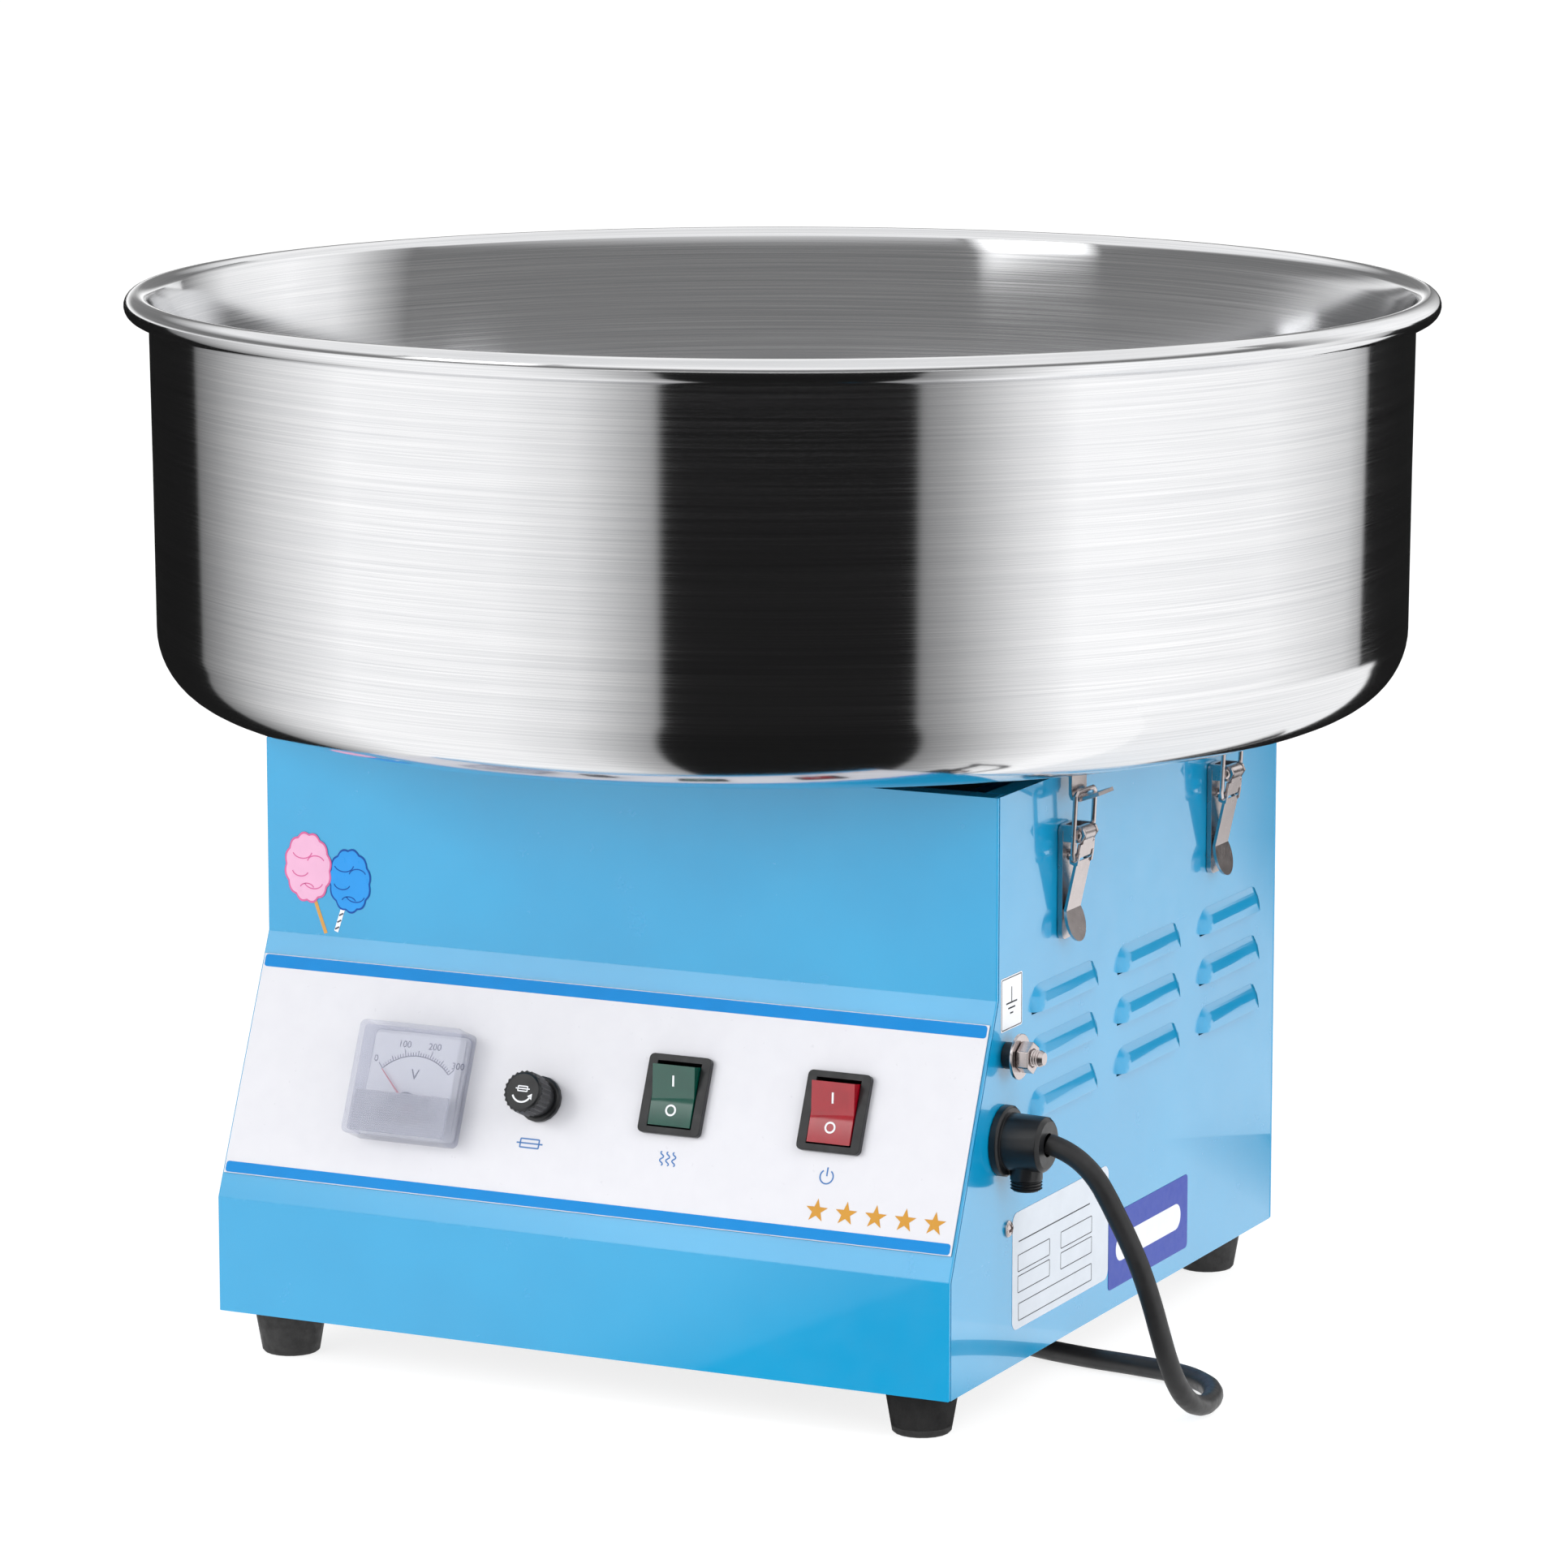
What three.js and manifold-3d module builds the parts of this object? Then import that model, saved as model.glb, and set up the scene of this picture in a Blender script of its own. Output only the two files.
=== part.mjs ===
// Table-top cotton candy machine: a stepped sheet-metal body on rubber feet, with a removable
// stainless bowl that four toggle latches hold down over the motor-driven spinner head.
// Units are millimetres. The origin is on the floor under the bowl's axis, +X is to the
// machine's right as seen from the front, -Y is the front and +Z is up.

import * as THREE from 'three';
import { ConvexGeometry } from 'three/addons/geometries/ConvexGeometry.js';
import { mergeVertices } from 'three/addons/utils/BufferGeometryUtils.js';
import Module from 'manifold-3d';

const wasm = await Module();
wasm.setup();

// ---------------------------------------------------------------- driving dimensions
const GAP = 0.3; // running and seating clearance between neighbouring pieces
const SHEET = 1.5; // body sheet metal

const BODY_WIDTH = 314;
const UPPER_DEPTH = 280; // the upper body is centred on the bowl's axis
const STEP = 42; // the lower front stands this far forward of the upper front
const BODY_BOTTOM = 18.5;
const LOWER_CREASE = 64;
const UPPER_CREASE = 163;
const BODY_TOP = 240;
const FLANGE = 9; // the turned-in edge round the body's open top

const BOWL_RIM_RADIUS = 260; // outside of the rolled rim
const BEAD_RADIUS = 5;
const BOWL_TOP = 411.3;
const BOWL_BOTTOM = 248.3;
const BOWL_CORNER = 30;
const BOWL_HOLE = 75;
const BOWL_SHEET = 1.5;

const FOOT_TOP_RADIUS = 14.2;
const FOOT_BOTTOM_RADIUS = 11.4;
const FOOT_INSET = 20.5;

const FASCIA_SHEET = 0.6;
const FASCIA_FROM = 10; // measured up the slanted face from the lower crease
const FASCIA_TO = 98;

const LATCH_FRONT_Y = -78;
const LATCH_REAR_Y = 71;

const CORD_DIAMETER = 8;

const LEFT = -BODY_WIDTH / 2;
const RIGHT = BODY_WIDTH / 2;
const UPPER_FRONT = -UPPER_DEPTH / 2;
const LOWER_FRONT = UPPER_FRONT - STEP;
const REAR = UPPER_DEPTH / 2;

// ---------------------------------------------------------------- helpers
const X = new THREE.Vector3(1, 0, 0);
const Y = new THREE.Vector3(0, 1, 0);
const Z = new THREE.Vector3(0, 0, 1);

const machine = new THREE.Group();

const finishes = {
  bluePaint: { color: 0x1f9bd6, roughness: 0.22, metalness: 0.0 },
  steel: { color: 0xc9cacb, roughness: 0.28, metalness: 1.0 },
  nickel: { color: 0xc8c2ba, roughness: 0.2, metalness: 1.0 },
  darkSteel: { color: 0x4c4e52, roughness: 0.5, metalness: 0.9 },
  aluminium: { color: 0xb9bcc0, roughness: 0.4, metalness: 1.0 },
  brass: { color: 0xb08d4a, roughness: 0.35, metalness: 1.0 },
  rubber: { color: 0x1b1a1a, roughness: 0.85, metalness: 0.0 },
  blackPlastic: { color: 0x17181a, roughness: 0.5, metalness: 0.0 },
  clearPlastic: { color: 0xe6eef2, roughness: 0.08, metalness: 0.0 },
  whitePlastic: { color: 0xe9e9ea, roughness: 0.5, metalness: 0.0 },
  redPlastic: { color: 0xc8142a, roughness: 0.25, metalness: 0.0 },
  greenPlastic: { color: 0x1f9a52, roughness: 0.25, metalness: 0.0 },
  printedSheet: { color: 0xe8e9ee, roughness: 0.4, metalness: 0.0 },
};

function solid(geometry) {
  const bare = geometry.clone();
  bare.deleteAttribute('normal');
  bare.deleteAttribute('uv');
  const merged = mergeVertices(bare, 1e-4);
  const vertProperties = new Float32Array(merged.attributes.position.array);
  const triVerts = new Uint32Array(merged.index.array);
  return new wasm.Manifold(new wasm.Mesh({ numProp: 3, vertProperties, triVerts }));
}

function geometryOf(manifold) {
  const mesh = manifold.getMesh();
  const geometry = new THREE.BufferGeometry();
  geometry.setAttribute('position', new THREE.BufferAttribute(mesh.vertProperties, 3));
  geometry.setIndex(new THREE.BufferAttribute(mesh.triVerts, 1));
  geometry.computeVertexNormals();
  return geometry;
}

function join(...geometries) {
  return geometryOf(geometries.map(solid).reduce((whole, part) => whole.add(part)));
}

function cut(geometry, ...tools) {
  return geometryOf(tools.map(solid).reduce((whole, tool) => whole.subtract(tool), solid(geometry)));
}

function common(first, second) {
  return geometryOf(solid(first).intersect(solid(second)));
}

function add(name, geometry, finish, parent = machine) {
  const mesh = new THREE.Mesh(geometry, new THREE.MeshStandardMaterial(finishes[finish]));
  mesh.name = name;
  parent.add(mesh);
  return mesh;
}

function box(lowX, highX, lowY, highY, lowZ, highZ) {
  const geometry = new THREE.BoxGeometry(highX - lowX, highY - lowY, highZ - lowZ);
  return geometry.translate((lowX + highX) / 2, (lowY + highY) / 2, (lowZ + highZ) / 2);
}

// A cylinder along +Z from one height to another; the radii may differ.
function post(lowRadius, highRadius, lowZ, highZ, sides = 32, x = 0, y = 0) {
  const geometry = new THREE.CylinderGeometry(highRadius, lowRadius, highZ - lowZ, sides);
  return geometry.rotateX(Math.PI / 2).translate(x, y, (lowZ + highZ) / 2);
}

// A cylinder along +X.
function bar(radius, lowX, highX, y, z, sides = 24, endRadius = radius) {
  const geometry = new THREE.CylinderGeometry(endRadius, radius, highX - lowX, sides);
  return geometry.rotateZ(-Math.PI / 2).translate((lowX + highX) / 2, y, z);
}

// A solid of revolution about +Z, from a closed list of [radius, height] points.
function turned(points, sides) {
  const profile = points.map(([radius, height]) => new THREE.Vector2(radius, height));
  return new THREE.LatheGeometry(profile, sides).rotateX(Math.PI / 2);
}

function outline(points) {
  return new THREE.Shape(points.map(([a, b]) => new THREE.Vector2(a, b)));
}

function extrude(shape, depth, curveSegments = 2) {
  return new THREE.ExtrudeGeometry(shape, { depth, bevelEnabled: false, curveSegments });
}

// An outline in the Y-Z plane, extruded from one X to another.
function alongX(shape, fromX, toX, curveSegments) {
  const turn = new THREE.Matrix4().makeBasis(Y, Z, X);
  return extrude(shape, toX - fromX, curveSegments).applyMatrix4(turn).translate(fromX, 0, 0);
}

// An outline in the X-Z plane, extruded from one Y to another.
function alongY(shape, fromY, toY, curveSegments) {
  const turn = new THREE.Matrix4().makeBasis(X, Z, Y.clone().negate());
  return extrude(shape, toY - fromY, curveSegments).applyMatrix4(turn).translate(0, toY, 0);
}

// The line that runs a fixed distance to the left of a polyline, with mitred corners.
function offsetLine(points, distance) {
  const normals = points.slice(1).map(([a, b], i) => {
    const [a0, b0] = points[i];
    const length = Math.hypot(a - a0, b - b0);
    return [-(b - b0) / length, (a - a0) / length];
  });
  return points.map(([a, b], i) => {
    const before = normals[Math.max(i - 1, 0)];
    const after = normals[Math.min(i, normals.length - 1)];
    const scale = distance / (1 + before[0] * after[0] + before[1] * after[1]);
    return [a + (before[0] + after[0]) * scale, b + (before[1] + after[1]) * scale];
  });
}

// A strip of sheet whose one face follows the polyline and whose other lies to its left.
function strip(points, thickness) {
  return outline([...points, ...offsetLine(points, thickness).reverse()]);
}

// The points of an arc, in degrees, with both ends.
function arc(centreA, centreB, radius, fromDegrees, toDegrees, steps) {
  const points = [];
  for (let i = 0; i <= steps; i += 1) {
    const angle = THREE.MathUtils.degToRad(fromDegrees + ((toDegrees - fromDegrees) * i) / steps);
    points.push([centreA + radius * Math.cos(angle), centreB + radius * Math.sin(angle)]);
  }
  return points;
}

function roundedRectangle(width, height, radius, x = 0, y = 0) {
  const shape = new THREE.Shape();
  const [w, h] = [width / 2, height / 2];
  shape.moveTo(x - w + radius, y - h);
  shape.lineTo(x + w - radius, y - h);
  shape.absarc(x + w - radius, y - h + radius, radius, -Math.PI / 2, 0, false);
  shape.lineTo(x + w, y + h - radius);
  shape.absarc(x + w - radius, y + h - radius, radius, 0, Math.PI / 2, false);
  shape.lineTo(x - w + radius, y + h);
  shape.absarc(x - w + radius, y + h - radius, radius, Math.PI / 2, Math.PI, false);
  shape.lineTo(x - w, y - h + radius);
  shape.absarc(x - w + radius, y - h + radius, radius, Math.PI, Math.PI * 1.5, false);
  return shape;
}

// A round rod along a curve.
function rod(curve, radius, steps, sides) {
  const section = new THREE.Shape();
  for (let i = 0; i < sides; i += 1) {
    const angle = (2 * Math.PI * i) / sides;
    const [a, b] = [radius * Math.cos(angle), radius * Math.sin(angle)];
    if (i === 0) section.moveTo(a, b);
    else section.lineTo(a, b);
  }
  return new THREE.ExtrudeGeometry(section, { steps, extrudePath: curve });
}

// ---------------------------------------------------------------- the slanted control face
// Everything on it sits in a frame whose +Y runs up the slope and whose +Z points out of it.
const slopeAngle = Math.atan2(UPPER_CREASE - LOWER_CREASE, STEP);
const slope = new THREE.Group();
slope.position.set(0, LOWER_FRONT, LOWER_CREASE);
slope.rotation.x = slopeAngle;
machine.add(slope);
slope.updateMatrix();

const METER = { x: -78.5, y: 51.5, size: 45, height: 12.5 };
const FUSE = { x: -24, y: 51.8 };
const HEAT = { x: 33, y: 58.8 };
const POWER = { x: 100, y: 58.8 };
const METER_BARREL = 19;
const FUSE_BARREL = 6;
const SWITCH_CUT = { width: 22.4, height: 27.6 };

function slopeCutters(clearance, fromZ, toZ) {
  const hole = (x, y, radius, sides) => post(radius, radius, fromZ, toZ, sides, x, y);
  const slot = ({ x, y }) => box(
    x - SWITCH_CUT.width / 2 - clearance, x + SWITCH_CUT.width / 2 + clearance,
    y - SWITCH_CUT.height / 2 - clearance, y + SWITCH_CUT.height / 2 + clearance,
    fromZ, toZ,
  );
  return [
    hole(METER.x, METER.y, METER_BARREL + clearance, 36),
    hole(FUSE.x, FUSE.y, FUSE_BARREL + clearance, 24),
    slot(HEAT),
    slot(POWER),
  ];
}

// ---------------------------------------------------------------- body shell
const frontLine = [
  [LOWER_FRONT, BODY_BOTTOM],
  [LOWER_FRONT, LOWER_CREASE],
  [UPPER_FRONT, UPPER_CREASE],
  [UPPER_FRONT, BODY_TOP],
];

const innerHalf = RIGHT - SHEET - GAP; // half the space between the side panels

function topFlange(fromY, toY) {
  return box(-innerHalf, innerHalf, fromY, toY, BODY_TOP - SHEET, BODY_TOP);
}

function frontPanel() {
  const behind = offsetLine(frontLine, -SHEET);
  const sheet = alongX(outline([...frontLine].reverse().concat(behind)), LEFT, RIGHT);
  const flange = topFlange(UPPER_FRONT + 0.5, UPPER_FRONT + FLANGE);
  const cutters = slopeCutters(GAP, -8, 8).map((tool) => tool.applyMatrix4(slope.matrix));
  return cut(join(sheet, flange), ...cutters);
}

// One louvre on a wall that faces +X: the pressed-out hood, and the space under it. Both are
// the hull of a stack of outlines that shrink away from the wall.
const LOUVRE = { length: 62, height: 10, reach: 3.2, wall: 0.9, corner: 6.5 };
const LOUVRE_LAYERS = [
  { out: 0, top: 0, end: 0 },
  { out: 0.45, top: 1.6, end: 1.3 },
  { out: 0.8, top: 3.8, end: 2.9 },
  { out: 1, top: 6.6, end: 5 },
];

function louvreLayer(x, y, low, halfLength, height, corner) {
  const ends = [1, -1].map((side) => arc(
    y + side * (halfLength - corner), low + height - corner, corner,
    side > 0 ? 0 : 90, side > 0 ? 90 : 180, 3,
  ));
  const line = [[y + halfLength, low], ...ends.flat(), [y - halfLength, low]];
  return line.map(([a, b]) => new THREE.Vector3(x, a, b));
}

function louvreSolid(y, z, inset) {
  const below = inset > 0 ? 1 : 0;
  const root = louvreLayer(RIGHT - SHEET - below, y, z - below, LOUVRE.length / 2 - inset,
    LOUVRE.height - inset + below, LOUVRE.corner - inset);
  const layers = LOUVRE_LAYERS.map(({ out, top, end }) => louvreLayer(
    RIGHT + out * (LOUVRE.reach - inset), y, z - below, LOUVRE.length / 2 - inset - end,
    LOUVRE.height - inset - top + below, Math.min(LOUVRE.corner - inset, LOUVRE.height - inset - top),
  ));
  return new ConvexGeometry([...root, ...layers.flat()]);
}

const LOUVRE_COLUMNS = [-77.7, 5, 89];
const LOUVRE_ROWS = [112.2, 132.4, 152.6];

function sidePanel(...cutters) {
  const front = offsetLine(frontLine, -SHEET - GAP);
  front[0][1] = BODY_BOTTOM;
  front[front.length - 1][1] = BODY_TOP;
  const back = REAR - SHEET - GAP;
  const plate = alongX(outline([...front, [back, BODY_TOP], [back, BODY_BOTTOM]].reverse()),
    RIGHT - SHEET, RIGHT);
  const reach = UPPER_DEPTH / 2 - FLANGE - GAP;
  const flange = box(RIGHT - FLANGE, RIGHT - 0.5, -reach, reach, BODY_TOP - SHEET, BODY_TOP);
  const places = LOUVRE_COLUMNS.flatMap((y) => LOUVRE_ROWS.map((z) => [y, z]));
  const hoods = places.map(([y, z]) => louvreSolid(y, z, 0));
  const spaces = places.map(([y, z]) => louvreSolid(y, z, LOUVRE.wall));
  return cut(join(plate, flange, ...hoods), ...spaces, ...cutters);
}

const EARTH = { y: -132, z: 140.8 };
const GLAND = { y: -134.5, z: 108.6 };

add('front_panel', frontPanel(), 'bluePaint');
const earthHole = bar(3.5, RIGHT - 5, RIGHT + 5, EARTH.y, EARTH.z, 16);
const glandHole = bar(8.3, RIGHT - 5, RIGHT + 5, GLAND.y, GLAND.z, 24);
add('right_side_panel', sidePanel(earthHole, glandHole), 'bluePaint');

// The left panel is the right one's mirror image, without the two holes.
const leftPanel = sidePanel();
leftPanel.applyMatrix4(new THREE.Matrix4().makeScale(-1, 1, 1));
const order = leftPanel.index.array;
for (let i = 0; i < order.length; i += 3) [order[i], order[i + 1]] = [order[i + 1], order[i]];
leftPanel.computeVertexNormals();
add('left_side_panel', leftPanel, 'bluePaint');

const rearSheet = box(LEFT, RIGHT, REAR - SHEET, REAR, BODY_BOTTOM, BODY_TOP);
add('rear_panel', join(rearSheet, topFlange(REAR - FLANGE, REAR - 0.5)), 'bluePaint');

const BASE_TOP = BODY_BOTTOM + 2;
add('base_plate', box(-innerHalf, innerHalf, LOWER_FRONT + SHEET + GAP, REAR - SHEET - GAP,
  BODY_BOTTOM, BASE_TOP), 'darkSteel');

// ---------------------------------------------------------------- feet
function foot() {
  const top = BODY_BOTTOM - GAP;
  return turned([
    [0, 2.2],
    [4.5, 2.2],
    [5, 0],
    [FOOT_BOTTOM_RADIUS - 0.8, 0],
    [FOOT_BOTTOM_RADIUS, 1],
    [FOOT_TOP_RADIUS, top - 1],
    [FOOT_TOP_RADIUS - 0.6, top],
    [0, top],
  ], 20);
}

const feet = {
  front_right: [RIGHT - FOOT_INSET, LOWER_FRONT + FOOT_INSET],
  front_left: [LEFT + FOOT_INSET, LOWER_FRONT + FOOT_INSET],
  rear_right: [RIGHT - FOOT_INSET, REAR - FOOT_INSET],
  rear_left: [LEFT + FOOT_INSET, REAR - FOOT_INSET],
};
for (const [corner, [x, y]] of Object.entries(feet)) {
  add(`foot_${corner}`, foot(), 'rubber').position.set(x, y, 0);
}

// ---------------------------------------------------------------- control fascia and its parts
const FASCIA_Z = GAP; // the printed sheet lies on the slanted face
const SEAT_Z = GAP + FASCIA_SHEET + GAP; // the controls' flanges lie on the printed sheet

const fasciaSheet = box(LEFT + 1, RIGHT - 1, FASCIA_FROM, FASCIA_TO, FASCIA_Z,
  FASCIA_Z + FASCIA_SHEET);
add('control_fascia', cut(fasciaSheet, ...slopeCutters(GAP, -8, 8)), 'printedSheet', slope);

// Voltmeter: the movement behind the panel, its dial, the pointer and the clear cover.
const meter = new THREE.Group();
meter.position.set(METER.x, METER.y, 0);
slope.add(meter);
const COVER_WALL = 1.5;
const METER_INSIDE = METER.size - 2 * COVER_WALL - 2 * GAP;
const METER_FLANGE_TOP = SEAT_Z + 1.8;
const DIAL_TOP = METER_FLANGE_TOP + GAP + 0.8;
const NEEDLE_PIVOT_Y = -9;

const movement = join(
  extrude(roundedRectangle(METER_INSIDE, METER_INSIDE, 2), METER_FLANGE_TOP - SEAT_Z)
    .translate(0, 0, SEAT_Z),
  post(METER_BARREL, METER_BARREL, -26, SEAT_Z + 0.5, 36),
);
add('voltmeter_movement', movement, 'whitePlastic', meter);

const coverTop = SEAT_Z + METER.height;
const cover = cut(
  extrude(roundedRectangle(METER.size, METER.size, 2.5), METER.height).translate(0, 0, SEAT_Z),
  extrude(roundedRectangle(METER.size - 2 * COVER_WALL, METER.size - 2 * COVER_WALL, 1.6),
    METER.height).translate(0, 0, SEAT_Z - COVER_WALL),
);
add('voltmeter_cover', cover, 'clearPlastic', meter);

const dial = cut(
  box(-METER_INSIDE / 2 + 1, METER_INSIDE / 2 - 1, -METER_INSIDE / 2 + 4,
    METER_INSIDE / 2 - 1, METER_FLANGE_TOP + GAP, DIAL_TOP),
  post(2.2, 2.2, -1, 20, 16, 0, NEEDLE_PIVOT_Y),
);
add('voltmeter_dial', dial, 'whitePlastic', meter);

const NEEDLE_LENGTH = 20;
const NEEDLE_REST = THREE.MathUtils.degToRad(135); // pointing up and to the left, at zero
const NEEDLE_Z = DIAL_TOP + 1;
const pointer = outline([[0, -0.5], [NEEDLE_LENGTH, -0.2], [NEEDLE_LENGTH, 0.2], [0, 0.5]]);
const needle = join(
  extrude(pointer, 0.6).rotateZ(NEEDLE_REST).translate(0, 0, NEEDLE_Z),
  post(1.8, 1.8, METER_FLANGE_TOP + GAP, NEEDLE_Z + 1.4, 16),
).translate(0, NEEDLE_PIVOT_Y, 0);
add('voltmeter_needle', needle, 'redPlastic', meter);

// Fuse holder with its knurled bayonet cap and the cartridge fuse.
const fuse = new THREE.Group();
fuse.position.set(FUSE.x, FUSE.y, 0);
slope.add(fuse);
const FUSE_FLANGE_TOP = SEAT_Z + 2.6;
const FUSE_CAP_TOP = FUSE_FLANGE_TOP + GAP + 13.5;
const FUSE_BORE = 4.6;
const FUSE_FLANGE = 9;
const fuseHolder = turned([
  [3.2, -34],
  [FUSE_BARREL, -34],
  [FUSE_BARREL, SEAT_Z],
  [FUSE_FLANGE, SEAT_Z],
  [FUSE_FLANGE, FUSE_FLANGE_TOP - 0.8],
  [FUSE_FLANGE - 0.8, FUSE_FLANGE_TOP],
  [FUSE_BORE, FUSE_FLANGE_TOP],
  [FUSE_BORE, -30],
  [3.2, -30],
  [3.2, -34],
], 18);
add('fuse_holder', fuseHolder, 'blackPlastic', fuse);

// The cap is a plain collar under a knurled grip.
const GRIP = { radius: 8.3, ribs: 24, rib: 0.6, height: 8 };

function fuseCap() {
  const { radius, ribs, rib, height } = GRIP;
  const points = [];
  for (let i = 0; i < ribs * 2; i += 1) {
    const angle = (Math.PI * i) / ribs;
    const out = i % 2 === 0 ? radius : radius - rib;
    points.push([out * Math.cos(angle), out * Math.sin(angle)]);
  }
  const low = FUSE_FLANGE_TOP + GAP;
  const gripTop = FUSE_CAP_TOP - 0.6;
  const collar = post(radius - 1.1, radius - 1.1, low, gripTop - height + 0.5, 24);
  const grip = extrude(outline(points), height).translate(0, 0, gripTop - height);
  const crown = post(radius - 0.8, radius - 1.4, FUSE_CAP_TOP - 0.9, FUSE_CAP_TOP, 24);
  const stem = post(FUSE_BORE - 0.5, FUSE_BORE - 0.5, low - 9, low + 0.5, 20);
  return join(collar, grip, crown, stem);
}
add('fuse_cap', fuseCap(), 'blackPlastic', fuse);

const FUSE_TOP = FUSE_FLANGE_TOP - 9 - 0.3;
add('fuse_cartridge', post(2.6, 2.6, FUSE_TOP - 20, FUSE_TOP, 16), 'clearPlastic', fuse);

// Rocker switches: a bezel that snaps into the panel, and the rocker that tips inside it.
const BEZEL = { width: 26.2, height: 30.7, thickness: 2.4 };
const ROCKER = { width: 17.8, halfLength: 11.6, tilt: THREE.MathUtils.degToRad(11) };
const ROCKER_PIVOT_Z = SEAT_Z + 0.6;

function switchBezel() {
  const flange = extrude(roundedRectangle(BEZEL.width, BEZEL.height, 2), BEZEL.thickness)
    .translate(0, 0, SEAT_Z);
  const body = box(-SWITCH_CUT.width / 2, SWITCH_CUT.width / 2, -SWITCH_CUT.height / 2,
    SWITCH_CUT.height / 2, -22, SEAT_Z + 0.5);
  const cavity = box(-9.3, 9.3, -12.75, 12.75, -13, 20);
  return cut(join(flange, body), cavity);
}

function rocker() {
  const { halfLength, width, tilt } = ROCKER;
  const side = new THREE.Shape();
  side.moveTo(-halfLength, -1.5);
  side.lineTo(-6.5, -9);
  side.lineTo(6.5, -9);
  side.lineTo(halfLength, -1.5);
  side.lineTo(halfLength, 4.4);
  side.quadraticCurveTo(halfLength / 2, 3.6, 0, 2.6);
  side.quadraticCurveTo(-halfLength / 2, 3.6, -halfLength, 4.4);
  return alongX(side, -width / 2, width / 2, 4).rotateX(tilt).translate(0, 0, ROCKER_PIVOT_Z);
}

for (const [name, place, finish] of [['heat', HEAT, 'greenPlastic'], ['power', POWER, 'redPlastic']]) {
  const control = new THREE.Group();
  control.position.set(place.x, place.y, 0);
  slope.add(control);
  add(`${name}_switch_bezel`, switchBezel(), 'blackPlastic', control);
  add(`${name}_rocker`, rocker(), finish, control);
}

// ---------------------------------------------------------------- earth terminal and cord gland
const STUD = { radius: 3.2, end: RIGHT + 16, chamfer: 0.8 };
const studRoot = RIGHT - SHEET - GAP; // its head bears on the inside of the panel
const stud = join(
  bar(5.5, studRoot - 4, studRoot, EARTH.y, EARTH.z, 6),
  bar(STUD.radius, studRoot - 1, STUD.end - STUD.chamfer, EARTH.y, EARTH.z, 16),
  bar(STUD.radius, STUD.end - STUD.chamfer - 0.1, STUD.end, EARTH.y, EARTH.z, 16,
    STUD.radius - STUD.chamfer),
);
add('earth_stud', stud, 'nickel');

function ringOnStud(radius, fromX, toX, sides) {
  return cut(
    bar(radius, RIGHT + fromX, RIGHT + toX, EARTH.y, EARTH.z, sides),
    bar(STUD.radius + GAP, RIGHT + fromX - 1, RIGHT + toX + 1, EARTH.y, EARTH.z, 16),
  );
}
add('earth_spacer', ringOnStud(5.1, GAP, 5, 24), 'blackPlastic');
add('earth_washer', ringOnStud(8.7, 5 + GAP, 6.5, 32), 'nickel');
add('earth_nut', ringOnStud(6.2, 6.5 + GAP, 11.6, 6), 'nickel');

// The gland tapers away from the wall; the cord leaves through its outer end. A threaded plug
// in the boss under it clamps the cord.
const GLAND_REACH = 19;
const GLAND_END = RIGHT + GLAND_REACH;
const PLUG_X = RIGHT + 10;
const BOSS = { radius: 6.2, from: -14, to: -7 };

function cordGland() {
  const body = turned([
    [4.5, -8],
    [8, -8],
    [8, GAP],
    [13.6, GAP],
    [13.6, 2.8],
    [12.8, 3.6],
    [10.9, 3.6],
    [10.6, GLAND_REACH - 1.4],
    [9.2, GLAND_REACH],
    [4.5, GLAND_REACH],
    [4.5, -8],
  ], 22);
  body.rotateY(Math.PI / 2).translate(RIGHT, GLAND.y, GLAND.z);
  const boss = post(BOSS.radius, BOSS.radius, GLAND.z + BOSS.from, GLAND.z + BOSS.to, 18,
    PLUG_X, GLAND.y);
  const bore = post(2.1, 2.1, GLAND.z + BOSS.from - 1, GLAND.z - 5, 10, PLUG_X, GLAND.y);
  return cut(join(body, boss), bore);
}
add('cord_gland', cordGland(), 'blackPlastic');

const plugTop = GLAND.z + BOSS.from - GAP;
const clampPlug = cut(
  join(
    post(5.2, 5.7, plugTop - 3.8, plugTop, 18, PLUG_X, GLAND.y),
    post(1.8, 1.8, plugTop - 0.5, GLAND.z - 6, 12, PLUG_X, GLAND.y),
  ),
  box(PLUG_X - 7, PLUG_X + 7, GLAND.y - 0.6, GLAND.y + 0.6, plugTop - 5, plugTop - 2.8),
);
add('gland_clamp_screw', clampPlug, 'blackPlastic');

// ---------------------------------------------------------------- mains cord, coil and plug
const cordRadius = CORD_DIAMETER / 2;
const FLOOR_Z = cordRadius + 0.2;
const COIL = { x: -34, y: 200, radius: 44, height: 2 * CORD_DIAMETER + 0.6 };

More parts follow.
